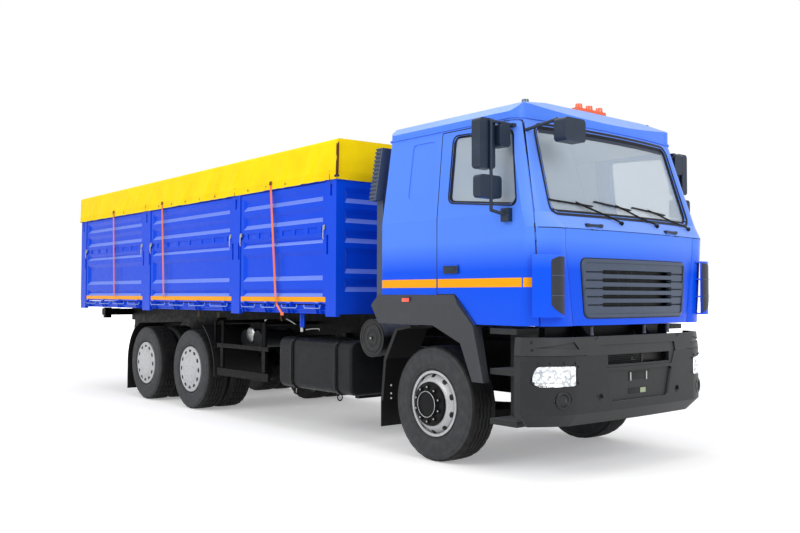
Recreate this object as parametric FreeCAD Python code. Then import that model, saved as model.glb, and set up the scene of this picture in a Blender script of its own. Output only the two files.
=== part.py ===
import FreeCAD, Part
import math
import os

os.makedirs("parts", exist_ok=True)

# A three-axle grain truck: cab over the engine, fixed drop-side body in three bays, tarpaulin on top.
# X points to the truck's front, Y to its left and Z up. Sizes are in millimetres.
# While it is modelled, x is measured from the front axle; the origin moves to the box's middle when saved.

# Layout of the wheels
wheelbase = 4750.0
tandem_spacing = 1400.0
axle_height = 525.0
front_wheel_half_track = 1032.0
outer_twin_half_track = 1067.0
twin_spacing = 350.0
kingpin_half_spacing = 930.0

# Tyres and rims
tyre_radius = axle_height
tyre_half_width = 157.0
tyre_tread_half_width = 128.0
tyre_shoulder_drop = 22.0
tyre_wall_shares = (0.18, 0.48, 0.78)
tyre_bead_lip = 4.0
tyre_wall_step = 12.0
bead_radius = 286.0
bead_half_width = 118.0
rim_flange_radius = 298.0
rim_flange_thickness = 10.0
rim_flange_half_width = 136.0
rim_wall = 12.0
rim_seat_gap = 0.3
disc_thickness = 14.0
hub_radius = 150.0
hub_nose_radius = 92.0
hub_nose_length = 60.0
hub_nose_share = 0.8
rim_disc_setback = 42.0
spindle_radius = 45.0
spindle_gap = 0.4
drum_radius = 205.0
drum_wall = 14.0
wheel_cover_radius = 296.0
wheel_cover_thickness = 8.0
wheel_cover_dish = 26.0
wheel_cover_rim = 20.0
vent_count = 10
vent_radius = 24.0
vent_circle_radius = 238.0
cover_slot_count = 12
cover_slot_radius = 15.0
cover_slot_circle_radius = 232.0

# Chassis frame
rail_half_spacing = 430.0
rail_height = 280.0
rail_flange = 80.0
rail_wall = 10.0
rail_top = 1080.0
rail_front = 1130.0
rail_rear = -8400.0
cross_tube_radius = 55.0
bearer_height = 230.0
bearer_front = -1400.0
bearer_rear = -8520.0
bearer_width = 90.0
tilt_pivot_x = 1250.0
tilt_pivot_z = 1000.0
tilt_bracket_reach = 70.0
tilt_lug_rear_x = 950.0
tilt_lug_front_x = 1060.0
tilt_pin_radius = 28.0
tilt_pin_gap = 0.5
tow_plate_half_width = 160.0
tow_plate_height = 200.0
tow_plate_thickness = 20.0
tow_bolt_half_width = 80.0
tow_bolt_half_height = 50.0
tow_bolt_radius = 10.5
tow_bore_radius = 43.0

# Engine, gearbox and radiator block
engine_front = 640.0
engine_rear = -760.0
engine_half_width = 330.0
engine_bottom = 580.0
engine_top = 1190.0
radiator_front = 880.0
radiator_half_width = 340.0
radiator_bottom = 640.0
radiator_top = 1235.0
engine_foot_length = 120.0
engine_foot_height = 110.0
gearbox_rear = -1700.0
gearbox_half_width = 200.0
gearbox_bottom = 620.0
gearbox_top = 1040.0

# Axles, knuckles and springs
beam_half_depth = 52.0
beam_drop = 95.0
beam_height = 110.0
beam_arm_start = 560.0
eye_radius = 46.0
eye_half_height = 66.0
kingpin_radius = 24.0
kingpin_gap = 0.4
knuckle_ear_height = 44.0
knuckle_ear_gap = 5.5
knuckle_web_thickness = 26.0
shield_radius = 176.0
shield_thickness = 8.0
spring_half_spacing = 485.0
spring_half_width = 40.0
front_spring_half_length = 800.0
spring_thickness = 70.0
spring_seat_half_length = 90.0
spring_seat_sink = 12.0
spring_eye_rise = 150.0
spring_end_thickness = 24.0
rear_spring_rise = 120.0
axle_tube_radius = 78.0
differential_radius = 215.0
differential_half_width = 150.0
differential_waist = 60.0
differential_neck = 120.0
propshaft_radius = 50.0
propshaft_gap = 4.4
trunnion_half_length = 130.0

# Cab shell
cab_bottom = 1260.0
cab_belt = 2065.0
cab_sill = 2193.0
cab_seam = 3000.0
cab_rear = -700.0
cab_rear_lean = 22.0
cab_half_width = 1250.0
cab_top_half_width = 1145.0
cab_rear_round = 70.0
cab_wall = 60.0
cab_bulge_share = 0.70
cab_floor_thickness = 50.0
cab_nose = 1400.0
cab_corner_x = 1335.0
cab_corner_y = 836.0
cab_shoulder_x = 1120.0
cab_belt_nose = 1392.0
cab_belt_corner_x = 1340.0
cab_belt_corner_y = 940.0
cab_belt_shoulder_x = 1190.0
cab_sill_nose = 1308.0
cab_sill_corner_x = 1250.0
cab_sill_corner_y = 1010.0
cab_sill_shoulder_x = 1150.0
cab_top_nose = 1078.0
cab_top_corner_x = 1006.0
cab_top_corner_y = 990.0
cab_top_shoulder_x = 915.0
cab_seat_gap = 0.3
gutter_reach = 12.0
gutter_height = 14.0

# Roof
roof_top = 3240.0
roof_rear_height = 3165.0
roof_crown_x = 742.0
roof_brow_x = 940.0
roof_brow_height = 3188.0
roof_front_height = 3070.0
roof_side_height = 3062.0
roof_shoulder_y = 1060.0
roof_shoulder_height = 3140.0
roof_round = 40.0
roof_skin = 40.0

# Doors, as places along and above, and their windows
door_rear_low_x = 136.0
door_rear_top_x = 104.0
door_front_x = 1248.0
door_front_top_x = 998.0
door_top = 2978.0
door_gap = 7.0
door_trim_gap = 7.0
door_relief = 12.0
hinge_leaf_height = 90.0
hinge_leaf_low_z = 1480.0
hinge_leaf_high_z = 1930.0
hinge_leaf_gap = 0.3
door_bottom = 1262.0
window_rear_low_x = 269.0
window_rear_low_z = 2335.0
window_front_low_x = 1077.0
window_front_low_z = 2254.0
window_front_top_x = 956.0
window_front_top_z = 2899.0
window_rear_top_x = 258.0
window_rear_top_z = 2930.0
window_round = 60.0
glass_depth = 20.0
glass_thickness = 6.0
glass_gap = 0.3
screen_low_half_width = 1000.0
screen_low_z = 2200.0
screen_top_half_width = 950.0
screen_top_z = 2950.0
screen_round = 80.0
blind_rear_x = -300.0
blind_front_x = 20.0
blind_low_z = 2395.0
blind_top_z = 2925.0
blind_round = 45.0
blind_depth = 8.0
door_handle_x = 240.0
door_handle_z = 1733.0
door_handle_length = 170.0
door_handle_height = 46.0
door_handle_reach = 22.0

# Wheel arch trim, as places along and above
trim_top = 1514.0
trim_knee_x = 619.0
trim_knee_z = 1248.0
trim_top_front_x = 359.0
trim_foot_outer_x = 718.0
trim_foot_inner_x = 581.0
trim_foot_z = 770.0
trim_arch_x = 111.0
trim_arch_z = 1240.0
trim_arch_bulge_x = 455.0
trim_arch_bulge_z = 1095.0
trim_rear_x = -666.0
trim_tail_x = -767.0
trim_tail_z = 1408.0
trim_proud = 44.0
trim_edge = 4.0
trim_crease_z = 1432.0
trim_depth = 70.0
trim_gap = 0.3

# Front panel with its grille
panel_top_half_width = 935.0
panel_straight = 130.0
panel_low_half_width = 832.0
panel_low_z = 1262.0
panel_gap = 5.0
panel_leaf_y = 560.0
panel_leaf_half_width = 45.0
grille_top_half_width = 757.0
grille_low_half_width = 709.0
grille_top_z = 1812.0
grille_low_z = 1330.0
grille_round = 55.0
grille_border = 34.0
grille_proud = 10.0
grille_depth = 46.0
grille_slat_count = 6
grille_slat_gap = 34.0
slot_half_width = 509.0
grille_gap = 0.3

# Corner deflectors
deflector_top = 1840.0
deflector_low = 1335.0
deflector_rear_x = 1256.0
deflector_front_x = 1392.0
deflector_front_y = 1012.0
deflector_bulge_x = 1352.0
deflector_bulge_y = 1190.0
deflector_skin = 16.0
deflector_fin_count = 4
deflector_fin_thickness = 12.0

# Bumper and its lamps
bumper_top = 1168.0
bumper_seam = 1017.0
bumper_lower_edge = 544.0
bumper_bottom = 440.0
bumper_rear_x = 1060.0
bumper_half_width = 1250.0
bumper_shoulder_x = 1128.0
bumper_bulge_x = 1290.0
bumper_bulge_y = 1108.0
bumper_bulge_share = 0.8
bumper_corner_x = 1388.0
bumper_corner_y = 860.0
bumper_nose = 1412.0
bumper_wall = 45.0
bumper_arm_rear_x = 830.0
bumper_top_inset = 14.0
bumper_bottom_inset = 90.0
bumper_opening_half_width = 450.0
bumper_opening_top = 1009.0
bumper_opening_low = 924.0
plate_recess_half_width = 480.0
plate_recess_top = 876.0
plate_recess_low = 616.0
plate_recess_low_half_width = 413.0
plate_recess_depth = 14.0
press_depth = 12.0
wedge_tip_y = 1180.0
wedge_tip_z = 1085.0
wedge_top_y = 872.0
wedge_top_z = 1132.0
wedge_inner_y = 815.0
wedge_low_z = 1070.0
notch_y = 596.0
notch_half_width = 50.0
notch_height = 38.0
frame_half_width = 545.0
frame_top = 1097.0
frame_low = 900.0
bumper_seam_width = 5.0
bumper_seam_inner_y = 740.0
tow_pin_half_spacing = 563.0
tow_pin_z = 662.0
tow_hole_radius = 34.0
headlamp_outer_y = 1212.0
headlamp_inner_y = 856.0
headlamp_top = 942.0
headlamp_low = 768.0
headlamp_round = 40.0
headlamp_gap = 0.3
headlamp_inset = 8.0
fog_lamp_y = 985.0
fog_lamp_z = 662.0
fog_lamp_radius = 74.0

# Steps below the doors
step_front_x = 1050.0
step_rear_x = 748.0
step_outer_y = 1205.0
step_inner_y = 930.0
step_wall = 20.0
step_low_z = 430.0
step_middle_z = 848.0
step_top_z = 1187.0
step_tread_thickness = 48.0
step_hanger_z = 900.0

# Mudguards and flaps
guard_skin = 12.0
front_guard_outer_y = 1212.0
front_guard_inner_y = 800.0
front_guard_rear_x = -712.0
front_guard_low_z = 492.0
front_guard_knee_x = -668.0
front_guard_knee_z = 900.0
front_guard_top_x = -500.0
front_guard_top_z = 1190.0
front_guard_tip_x = -290.0
front_guard_tip_z = 1226.0
front_guard_lip = 34.0
front_flap_bottom = 240.0
rear_guard_outer_y = 1232.0
rear_guard_inner_y = 545.0
lead_guard_radius = 700.0
lead_guard_start = -4.0
lead_guard_end = 58.0
tail_guard_radius = 615.0
tail_guard_start = 112.0
tail_guard_end = 184.0
rear_flap_bottom = 110.0
guard_arm_radius = 18.0

# Equipment on the sides of the frame
tank_front = -1206.0
tank_rear = -2565.0
tank_outer_y = 1208.0
tank_inner_y = 640.0
tank_bottom = 478.0
tank_top = 1040.0
tank_round = 95.0
tank_end_round = 30.0
strap_width = 58.0
strap_thickness = 6.0
strap_front_x = -1471.0
strap_rear_x = -2296.0
tank_bracket_depth = 60.0
tank_bracket_width = 70.0
filter_x = -930.0
filter_z = 1082.0
filter_radius = 180.0
filter_outer_y = 1150.0
filter_inner_y = 640.0
filter_cap_radius = 188.0
filter_cap_length = 70.0
receiver_radius = 105.0
receiver_outer_y = 900.0
receiver_front_x = -3560.0
receiver_rear_x = -3860.0
receiver_z = 960.0
battery_front = -1240.0
battery_rear = -1900.0
battery_outer_y = 1190.0
battery_inner_y = 640.0
battery_bottom = 520.0
battery_top = 980.0
battery_round = 30.0
silencer_front = -2050.0
silencer_rear = -2850.0
silencer_radius = 265.0
silencer_y = 890.0
silencer_z = 760.0
silencer_pipe_radius = 60.0
silencer_pipe_length = 160.0
side_guard_front = -2790.0
side_guard_rear = -4010.0
side_guard_left_front = -2990.0
side_guard_outer_y = 1215.0
side_guard_thickness = 30.0
side_guard_high_z = 852.0
side_guard_low_z = 503.0
side_guard_high_height = 50.0
side_guard_low_height = 92.0
side_guard_post = 70.0
side_guard_front_inset = 113.0
side_guard_rear_inset = 29.0
side_guard_hoop_top = 1170.0
side_guard_post_sink = 4.0
guard_hoop_radius = 20.0
tail_bar_depth = 80.0
tail_bar_height = 105.0
tail_bar_z = 1165.0
tail_bar_half_width = 900.0
tail_end_width = 110.0
tail_end_low = 1118.0
tail_end_top = 1290.0
tail_lamp_width = 300.0
tail_lamp_height = 110.0
tail_lamp_depth = 60.0

# Load body
bed_front = -1380.0
bed_rear = -8622.0
bed_half_width = 1275.0
bed_floor_top = 1400.0
bed_floor_thickness = 40.0
bed_edge_gap = 6.0
cross_bearer_count = 13
cross_bearer_width = 60.0
board_bottom = 1412.0
board_top = 2694.0
board_depth = 40.0
board_inset = 10.0
board_end_gap = 7.0
board_sheet = 12.0
board_rail = 62.0
board_block_width = 70.0
board_block_count = 7
board_split = 2196.0
board_hinge_rise = 10.0
board_hinge_proud = 17.0
board_hinge_radius = 11.0
board_pin_radius = 6.0
board_pin_gap = 0.3
board_hinge_shares = (0.06, 0.35, 0.62, 0.93)
hinge_cheek = 10.0
hinge_cheek_gap = 1.0
hinge_clearance = 6.0
pocket_slope = 50.0
pocket_slope_share = 0.45
pocket_end_taper = 40.0
lower_pockets = ((1492.0, 1575.0), (1666.0, 1985.0), (2058.0, 2140.0))
upper_pockets = ((2280.0, 2445.0), (2503.0, 2650.0))
wall_pockets = ((1545.0, 1680.0), (1735.0, 2000.0), (2054.0, 2190.0), (2262.0, 2410.0), (2470.0, 2630.0))
post_bottom = 1285.0
post_top = 2745.0
post_depth = 50.0
sill_width = 70.0
sill_overlap = 10.0
sill_flange_z = 1342.0
sill_flange_reach = 30.0
sill_flange_thickness = 8.0
floor_seat_gap = 0.3
rear_post_width = 212.0
second_post_rear = -6161.0
second_post_width = 250.0
third_post_rear = -3552.0
third_post_width = 198.0
front_post_width = 182.0
lock_slot_width = 34.0
lock_slot_inset = 26.0
lock_slot_depth = 22.0
lock_slot_height = 200.0
top_lock_height = 120.0
front_wall_thickness = 50.0
wall_pocket_depth = 26.0
tailgate_side_gap = 7.0
tailgate_pin_z = 2668.0
tailgate_pin_radius = 12.0
tailgate_pin_reach = 30.0
cant_rail_bottom = 2702.0
cant_rail_height = 48.0
bow_thickness = 40.0
bow_width = 40.0
bow_seat_gap = 0.3

# Tarpaulin
tarp_bottom = 2708.0
tarp_eaves = 3108.0
tarp_ridge = 3146.0
tarp_half_width = 1290.0
tarp_front = -1366.0
tarp_rear = -8690.0
tarp_skin = 10.0
tarp_eaves_inset = 22.0

# Lamps on the roof, mirrors and the air intake
marker_x = 865.0
marker_y = 888.0
marker_radius = 42.0
marker_height = 62.0
beacon_x = 859.0
beacon_spacing = 150.0
beacon_radius = 36.0
beacon_height = 40.0
beacon_bar_height = 34.0
beacon_taper = 6.0
beacon_bar_depth = 70.0
beacon_bar_half_length = 210.0
beacon_base_z = 3198.0
marker_base_z = 3142.0
marker_taper = 12.0
arm_radius = 14.0
mirror_foot_x = 1000.0
mirror_foot_z = 2170.0
mirror_foot_radius = 44.0
mirror_foot_height = 110.0
mirror_head_x = 985.0
mirror_head_z = 2925.0
mirror_arm_x = 950.0
mirror_arm_y = 1400.0
mirror_arm_top = 2940.0
mirror_arm_low = 2205.0
main_mirror_x = 888.0
main_mirror_y = 1424.0
main_mirror_low = 2548.0
main_mirror_height = 415.0
main_mirror_width = 180.0
main_mirror_depth = 96.0
wide_mirror_x = 915.0
wide_mirror_y = 1405.0
wide_mirror_low = 2305.0
wide_mirror_height = 188.0
wide_mirror_width = 250.0
wide_mirror_depth = 84.0
mirror_round = 34.0
kerb_mirror_x = 930.0
kerb_mirror_y = 1275.0
kerb_mirror_low = 2735.0
kerb_mirror_height = 190.0
kerb_mirror_width = 130.0
kerb_mirror_depth = 120.0
front_mirror_x = 1300.0
front_mirror_y = 900.0
front_mirror_z = 2860.0
front_mirror_length = 260.0
front_mirror_depth = 120.0
front_mirror_height = 190.0
front_mirror_foot_x = 1012.0
front_mirror_foot_y = 1070.0
front_mirror_foot_z = 2890.0
front_mirror_elbow_z = 2955.0
intake_rear_x = -885.0
intake_front_x = -775.0
intake_outer_low_y = 1238.0
intake_outer_top_y = 1148.0
intake_inner_y = 1010.0
intake_low_z = 2440.0
intake_top_z = 2968.0
louvre_count = 13
louvre_depth = 14.0
louvre_gap = 18.0
duct_width = 130.0
duct_low_z = 1330.0
intake_stay_height = 60.0

# Cab fittings
seat_y = 620.0
seat_width = 520.0
seat_rear = -300.0
seat_depth = 520.0
seat_cushion_z = 1640.0
seat_cushion_height = 130.0
seat_back_height = 640.0
seat_back_thickness = 130.0
seat_pillar = 300.0
headrest_width = 280.0
headrest_height = 190.0
dash_rear_x = 760.0
dash_front_x = 1150.0
dash_low_z = 1700.0
dash_top_z = 2110.0
dash_half_width = 1080.0
dash_slope = 140.0
dash_foot_depth = 160.0
steering_wheel_radius = 225.0
steering_wheel_tube = 15.0
steering_wheel_x = 600.0
steering_wheel_z = 2100.0
steering_wheel_tilt = 35.0
column_radius = 32.0

# Derived places
second_axle_x = -wheelbase
third_axle_x = -wheelbase - tandem_spacing
inner_twin_half_track = outer_twin_half_track - twin_spacing
rail_bottom = rail_top - rail_height
bearer_top = rail_top + bearer_height
spindle_tip = front_wheel_half_track + rim_flange_half_width
part_front_x = front_mirror_x + front_mirror_depth
x_front_axle = -(part_front_x + tarp_rear) / 2
overrun = 400.0
floor_half_width = bed_half_width - board_inset - board_depth - bed_edge_gap
bay_ends = [
    (bed_rear + rear_post_width, second_post_rear),
    (second_post_rear + second_post_width, third_post_rear),
    (third_post_rear + third_post_width, bed_front - front_post_width),
]
post_spans = [
    (bed_rear, bed_rear + rear_post_width),
    (second_post_rear, second_post_rear + second_post_width),
    (third_post_rear, third_post_rear + third_post_width),
    (bed_front - front_post_width, bed_front),
]


# Small helpers
def vec(x, y, z):
    return FreeCAD.Vector(x, y, z)


def block(x_low, x_high, y_low, y_high, z_low, z_high):
    return Part.makeBox(x_high - x_low, y_high - y_low, z_high - z_low, vec(x_low, y_low, z_low))


def rounded_wire(corners, radii):
    """Close the corners to a wire, with a tangent arc at each corner that has a radius."""
    pieces = []
    for index, corner in enumerate(corners):
        before = (corners[index - 1] - corner).normalize()
        after = (corners[(index + 1) % len(corners)] - corner).normalize()
        radius = radii[index]
        half_angle = before.getAngle(after) / 2
        reach = radius / math.tan(half_angle)
        bisector = (before + after).normalize()
        middle = corner + bisector * (radius / math.sin(half_angle) - radius)
        pieces.append((corner + before * reach, middle, corner + after * reach, radius))
    edges = []
    for index, (start, middle, end, radius) in enumerate(pieces):
        if radius > 0:
            edges.append(Part.Arc(start, middle, end).toShape())
        edges.append(Part.makeLine(end, pieces[(index + 1) % len(pieces)][0]))
    return Part.Wire(edges)


def plate(corners, radii, sweep):
    if not isinstance(radii, (list, tuple)):
        radii = [radii] * len(corners)
    if max(radii) > 0:
        wire = rounded_wire(corners, radii)
    else:
        wire = Part.makePolygon(corners + corners[:1])
    return Part.Face(wire).extrude(sweep)


def side_plate(outline, y_low, y_high, radii=0):
    """A plate with its outline given as x and z, thick along y."""
    corners = [vec(x, y_low, z) for x, z in outline]
    return plate(corners, radii, vec(0, y_high - y_low, 0))


def cross_plate(outline, x_low, x_high, radii=0):
    """A plate with its outline given as y and z, thick along x."""
    corners = [vec(x_low, y, z) for y, z in outline]
    return plate(corners, radii, vec(x_high - x_low, 0, 0))


def plan_plate(outline, z_low, z_high, radii=0):
    """A plate with its outline given as x and y, thick along z."""
    corners = [vec(x, y, z_low) for x, y in outline]
    return plate(corners, radii, vec(0, 0, z_high - z_low))


def rod(start, end, radius):
    return Part.makeCylinder(radius, (end - start).Length, start, end - start)


def bent_rod(points, radius):
    """A round bar along straight runs, with a ball in each bend."""
    bar = rod(points[0], points[1], radius)
    for index in range(1, len(points) - 1):
        bar = bar.fuse(Part.makeSphere(radius, points[index]))
        bar = bar.fuse(rod(points[index], points[index + 1], radius))
    return bar


def turned(profile, x, z):
    """Turn a closed profile of radius and y about a line along y through x and z."""
    corners = [vec(radius, y, 0) for radius, y in profile]
    face = Part.Face(Part.makePolygon(corners + corners[:1]))
    solid = face.revolve(vec(0, 0, 0), vec(0, 1, 0), 360)
    solid.translate(vec(x, 0, z))
    return solid


def across(shape):
    """The same shape on the other side of the truck."""
    return shape.mirror(vec(0, 0, 0), vec(0, 1, 0))


def join(shapes):
    whole = shapes[0]
    for shape in shapes[1:]:
        whole = whole.fuse(shape)
    return whole.removeSplitter()


def save(name, *shapes):
    """Write one node, moved so that the origin is under the middle of the whole truck's box."""
    shape = shapes[0] if len(shapes) == 1 else Part.makeCompound(list(shapes))
    shape = shape.copy()
    shape.translate(vec(x_front_axle, 0, 0))
    shape.exportStep("parts/" + name + ".step")


# Frame
def channel_rail():
    """One frame rail: a channel with its flanges turned inwards, on the right side."""
    web_y = -rail_half_spacing
    outline = [
        (web_y, rail_bottom), (web_y + rail_flange, rail_bottom),
        (web_y + rail_flange, rail_bottom + rail_wall), (web_y + rail_wall, rail_bottom + rail_wall),
        (web_y + rail_wall, rail_top - rail_wall), (web_y + rail_flange, rail_top - rail_wall),
        (web_y + rail_flange, rail_top), (web_y, rail_top),
    ]
    return cross_plate(outline, rail_rear, rail_front)


def chassis_frame():
    middle_z = rail_bottom + rail_height / 2
    rail = channel_rail()
    pieces = [rail, across(rail)]
    reach = rail_half_spacing - rail_wall / 2
    rear_cross_x = rail_rear + cross_tube_radius
    front_cross_x = rail_front - cross_tube_radius
    bogie_x = (second_axle_x + third_axle_x) / 2
    between_x = (gearbox_rear + second_axle_x) / 2
    for x in (rear_cross_x, (rear_cross_x + bogie_x) / 2, bogie_x, between_x, front_cross_x):
        pieces.append(rod(vec(x, -reach, middle_z), vec(x, reach, middle_z), cross_tube_radius))
    for side in (-1, 1):
        y_low = min(side * rail_half_spacing, side * (rail_half_spacing - bearer_width))
        pieces.append(block(bearer_rear, bearer_front, y_low, y_low + bearer_width, rail_top, bearer_top))
        pieces.append(tilt_bracket(side))
    plate_x = rail_rear - tow_plate_thickness
    plate_half_height = tow_plate_height / 2
    tow = block(plate_x, rail_rear, -tow_plate_half_width, tow_plate_half_width,
                middle_z - plate_half_height, middle_z + plate_half_height)
    pieces.append(tow)
    pieces.append(block(plate_x, rail_rear, -rail_half_spacing, rail_half_spacing,
                        middle_z - cross_tube_radius, middle_z + cross_tube_radius))
    frame = join(pieces)
    reach = vec(plate_x - overrun, 0, middle_z)
    frame = frame.cut(rod(reach, vec(rail_rear + cross_tube_radius, 0, middle_z), tow_bore_radius))
    for y in (-tow_bolt_half_width, tow_bolt_half_width):
        for z in (-tow_bolt_half_height, tow_bolt_half_height):
            start = vec(plate_x - overrun, y, middle_z + z)
            frame = frame.cut(rod(start, vec(rail_rear + cross_tube_radius, y, middle_z + z),
                                  tow_bolt_radius))
    return frame


def tilt_bracket(side):
    """The ear on a rail's front end that carries the cab's tilt pin."""
    y_low = min(side * (rail_half_spacing - rail_flange), side * rail_half_spacing)
    outline = [
        (rail_front - tilt_bracket_reach, rail_bottom), (rail_front, rail_bottom),
        (tilt_pivot_x + tilt_bracket_reach, tilt_pivot_z), (tilt_pivot_x, tilt_pivot_z + tilt_bracket_reach),
        (rail_front - tilt_bracket_reach, rail_top),
    ]
    ear = side_plate(outline, y_low, y_low + rail_flange)
    bore = rod(vec(tilt_pivot_x, y_low - overrun, tilt_pivot_z),
               vec(tilt_pivot_x, y_low + overrun, tilt_pivot_z), tilt_pin_radius + tilt_pin_gap)
    return ear.cut(bore)


def engine_block():
    """Engine, gearbox and radiator as plain blocks in one, hung from the rails by six feet."""
    engine = block(engine_rear, engine_front, -engine_half_width, engine_half_width, engine_bottom,
                   engine_top)
    gearbox = block(gearbox_rear, engine_rear, -gearbox_half_width, gearbox_half_width,
                    gearbox_bottom, gearbox_top)
    radiator = block(engine_front, radiator_front, -radiator_half_width, radiator_half_width,
                     radiator_bottom, radiator_top)
    pieces = [engine, gearbox, radiator]
    foot_z = rail_bottom + rail_wall + (rail_height - engine_foot_height) / 2
    rail_inside = rail_half_spacing - rail_wall
    for x in (engine_rear, engine_front - engine_foot_length, radiator_front - engine_foot_length):
        pieces.append(block(x, x + engine_foot_length, -rail_inside, rail_inside,
                            foot_z, foot_z + engine_foot_height))
    return join(pieces)


# Axles
def front_axle():
    """The forged beam with its two pin eyes, and the leaf springs that it hangs from."""
    low = axle_height - beam_drop - beam_height
    inner = beam_arm_start
    pin_y = kingpin_half_spacing
    beam_end = pin_y - eye_radius / 2
    beam_outline = [
        (-inner, low), (inner, low), (beam_end, axle_height - beam_height / 2),
        (beam_end, axle_height + beam_height / 2), (inner, low + beam_height),
        (-inner, low + beam_height), (-beam_end, axle_height + beam_height / 2),
        (-beam_end, axle_height - beam_height / 2),
    ]
    pieces = [cross_plate(beam_outline, -beam_half_depth, beam_half_depth)]
    for side in (-1, 1):
        eye_low = vec(0, side * pin_y, axle_height - eye_half_height)
        eye_high = vec(0, side * pin_y, axle_height + eye_half_height)
        pieces.append(rod(eye_low, eye_high, eye_radius))
        pieces.append(leaf_spring(0, side, front_spring_half_length, low + beam_height, spring_eye_rise))
    axle = join(pieces)
    for side in (-1, 1):
        pin_low = vec(0, side * pin_y, axle_height - overrun)
        pin_high = vec(0, side * pin_y, axle_height + overrun)
        axle = axle.cut(rod(pin_low, pin_high, kingpin_radius + kingpin_gap))
    return axle


def leaf_spring(x, side, half_length, seat_z, rise):
    """A leaf pack as one bowed bar on its seat, with hangers up to the rail at both ends."""
    y_low = side * spring_half_spacing - spring_half_width
    y_high = side * spring_half_spacing + spring_half_width
    low = (vec(x - half_length, y_low, seat_z + rise), vec(x, y_low, seat_z),
           vec(x + half_length, y_low, seat_z + rise))
    high = (low[2] + vec(0, 0, spring_end_thickness), low[1] + vec(0, 0, spring_thickness),
            low[0] + vec(0, 0, spring_end_thickness))
    bar = bowed_bar(low, high, y_high - y_low)
    hanger_low = seat_z + rise
    hangers = [block(x - spring_seat_half_length, x + spring_seat_half_length, y_low, y_high,
                     seat_z - spring_seat_sink, seat_z + spring_seat_sink)]
    for end in (-1, 1):
        centre = x + end * (half_length - spring_half_width)
        hangers.append(block(centre - spring_half_width, centre + spring_half_width,
                             min(side * rail_half_spacing, side * (spring_half_spacing + spring_half_width)),
                             max(side * rail_half_spacing, side * (spring_half_spacing + spring_half_width)),
                             hanger_low, rail_bottom + rail_height / 2))
    return join([bar] + hangers)


def bowed_bar(low, high, width):
    """A bar between two arcs, each given by three points, the upper one running back."""
    edges = [Part.Arc(*low).toShape(), Part.makeLine(low[2], high[0]), Part.Arc(*high).toShape(),
             Part.makeLine(high[2], low[0])]
    return Part.Face(Part.Wire(edges)).extrude(vec(0, width, 0))


def knuckle(side):
    """A steering knuckle: two ears round the beam's eye, the pin, a web, the shield and the spindle."""
    pin_y = side * kingpin_half_spacing
    ear_start = eye_half_height + knuckle_ear_gap
    ear_end = ear_start + knuckle_ear_height
    pieces = [rod(vec(0, pin_y, axle_height - ear_end), vec(0, pin_y, axle_height + ear_end), kingpin_radius)]
    web_y = kingpin_half_spacing + eye_radius + knuckle_ear_gap
    web_outer = web_y + knuckle_web_thickness
    for sign in (-1, 1):
        z_low = axle_height + min(sign * ear_start, sign * ear_end)
        pieces.append(rod(vec(0, pin_y, z_low), vec(0, pin_y, z_low + knuckle_ear_height), eye_radius))
        pieces.append(block(-eye_radius, eye_radius, min(pin_y, side * web_outer),
                            max(pin_y, side * web_outer),
                            z_low, z_low + knuckle_ear_height))
    pieces.append(block(-eye_radius, eye_radius, min(side * web_y, side * web_outer),
                        max(side * web_y, side * web_outer), axle_height - ear_end, axle_height + ear_end))
    shield_start = vec(0, side * web_outer, axle_height)
    pieces.append(rod(shield_start, shield_start + vec(0, side * shield_thickness, 0), shield_radius))
    pieces.append(rod(shield_start, vec(0, side * spindle_tip, axle_height), spindle_radius))
    return join(pieces)


def rear_axles():
    """Both driven axles with their differentials, the spring packs that join them, and the shafts."""
    pieces = []
    tip = outer_twin_half_track + rim_flange_half_width / 2
    neck = inner_twin_half_track - tyre_half_width
    for x in (second_axle_x, third_axle_x):
        pieces.append(rod(vec(x, -neck, axle_height), vec(x, neck, axle_height), axle_tube_radius))
        pieces.append(rod(vec(x, -tip, axle_height), vec(x, tip, axle_height), spindle_radius))
        bulge = [(0, -differential_half_width), (differential_neck, -differential_half_width),
                 (differential_radius, -differential_waist), (differential_radius, differential_waist),
                 (differential_neck, differential_half_width), (0, differential_half_width)]
        pieces.append(turned(bulge, x, axle_height))
    bogie_x = (second_axle_x + third_axle_x) / 2
    half_length = tandem_spacing / 2
    seat = axle_height + axle_tube_radius
    for side in (-1, 1):
        pieces.append(bogie_spring(bogie_x, side, half_length, seat))
    pieces.append(rod(vec(second_axle_x + differential_neck, 0, axle_height),
                      vec(gearbox_rear - propshaft_gap, 0, gearbox_bottom + rail_height / 2),
                      propshaft_radius))
    pieces.append(rod(vec(third_axle_x + differential_neck, 0, axle_height),
                      vec(second_axle_x - differential_neck, 0, axle_height), propshaft_radius))
    return join(pieces)


def bogie_spring(x, side, half_length, seat_z):
    """A leaf pack that rocks between the two axles, and its trunnion block under the rail."""
    y_low = side * spring_half_spacing - spring_half_width
    top = seat_z + rear_spring_rise
    foot_z = seat_z - spring_half_width
    low = (vec(x - half_length, y_low, foot_z), vec(x, y_low, top - spring_thickness),
           vec(x + half_length, y_low, foot_z))
    high = (vec(x + half_length, y_low, seat_z), vec(x, y_low, top + spring_thickness / 2),
            vec(x - half_length, y_low, seat_z))
    bar = bowed_bar(low, high, 2 * spring_half_width)
    outer_y = spring_half_spacing + spring_half_width
    trunnion = block(x - trunnion_half_length, x + trunnion_half_length,
                     min(side * rail_half_spacing, side * outer_y),
                     max(side * rail_half_spacing, side * outer_y),
                     axle_height, rail_bottom + rail_height / 2)
    return join([bar, trunnion])


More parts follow.
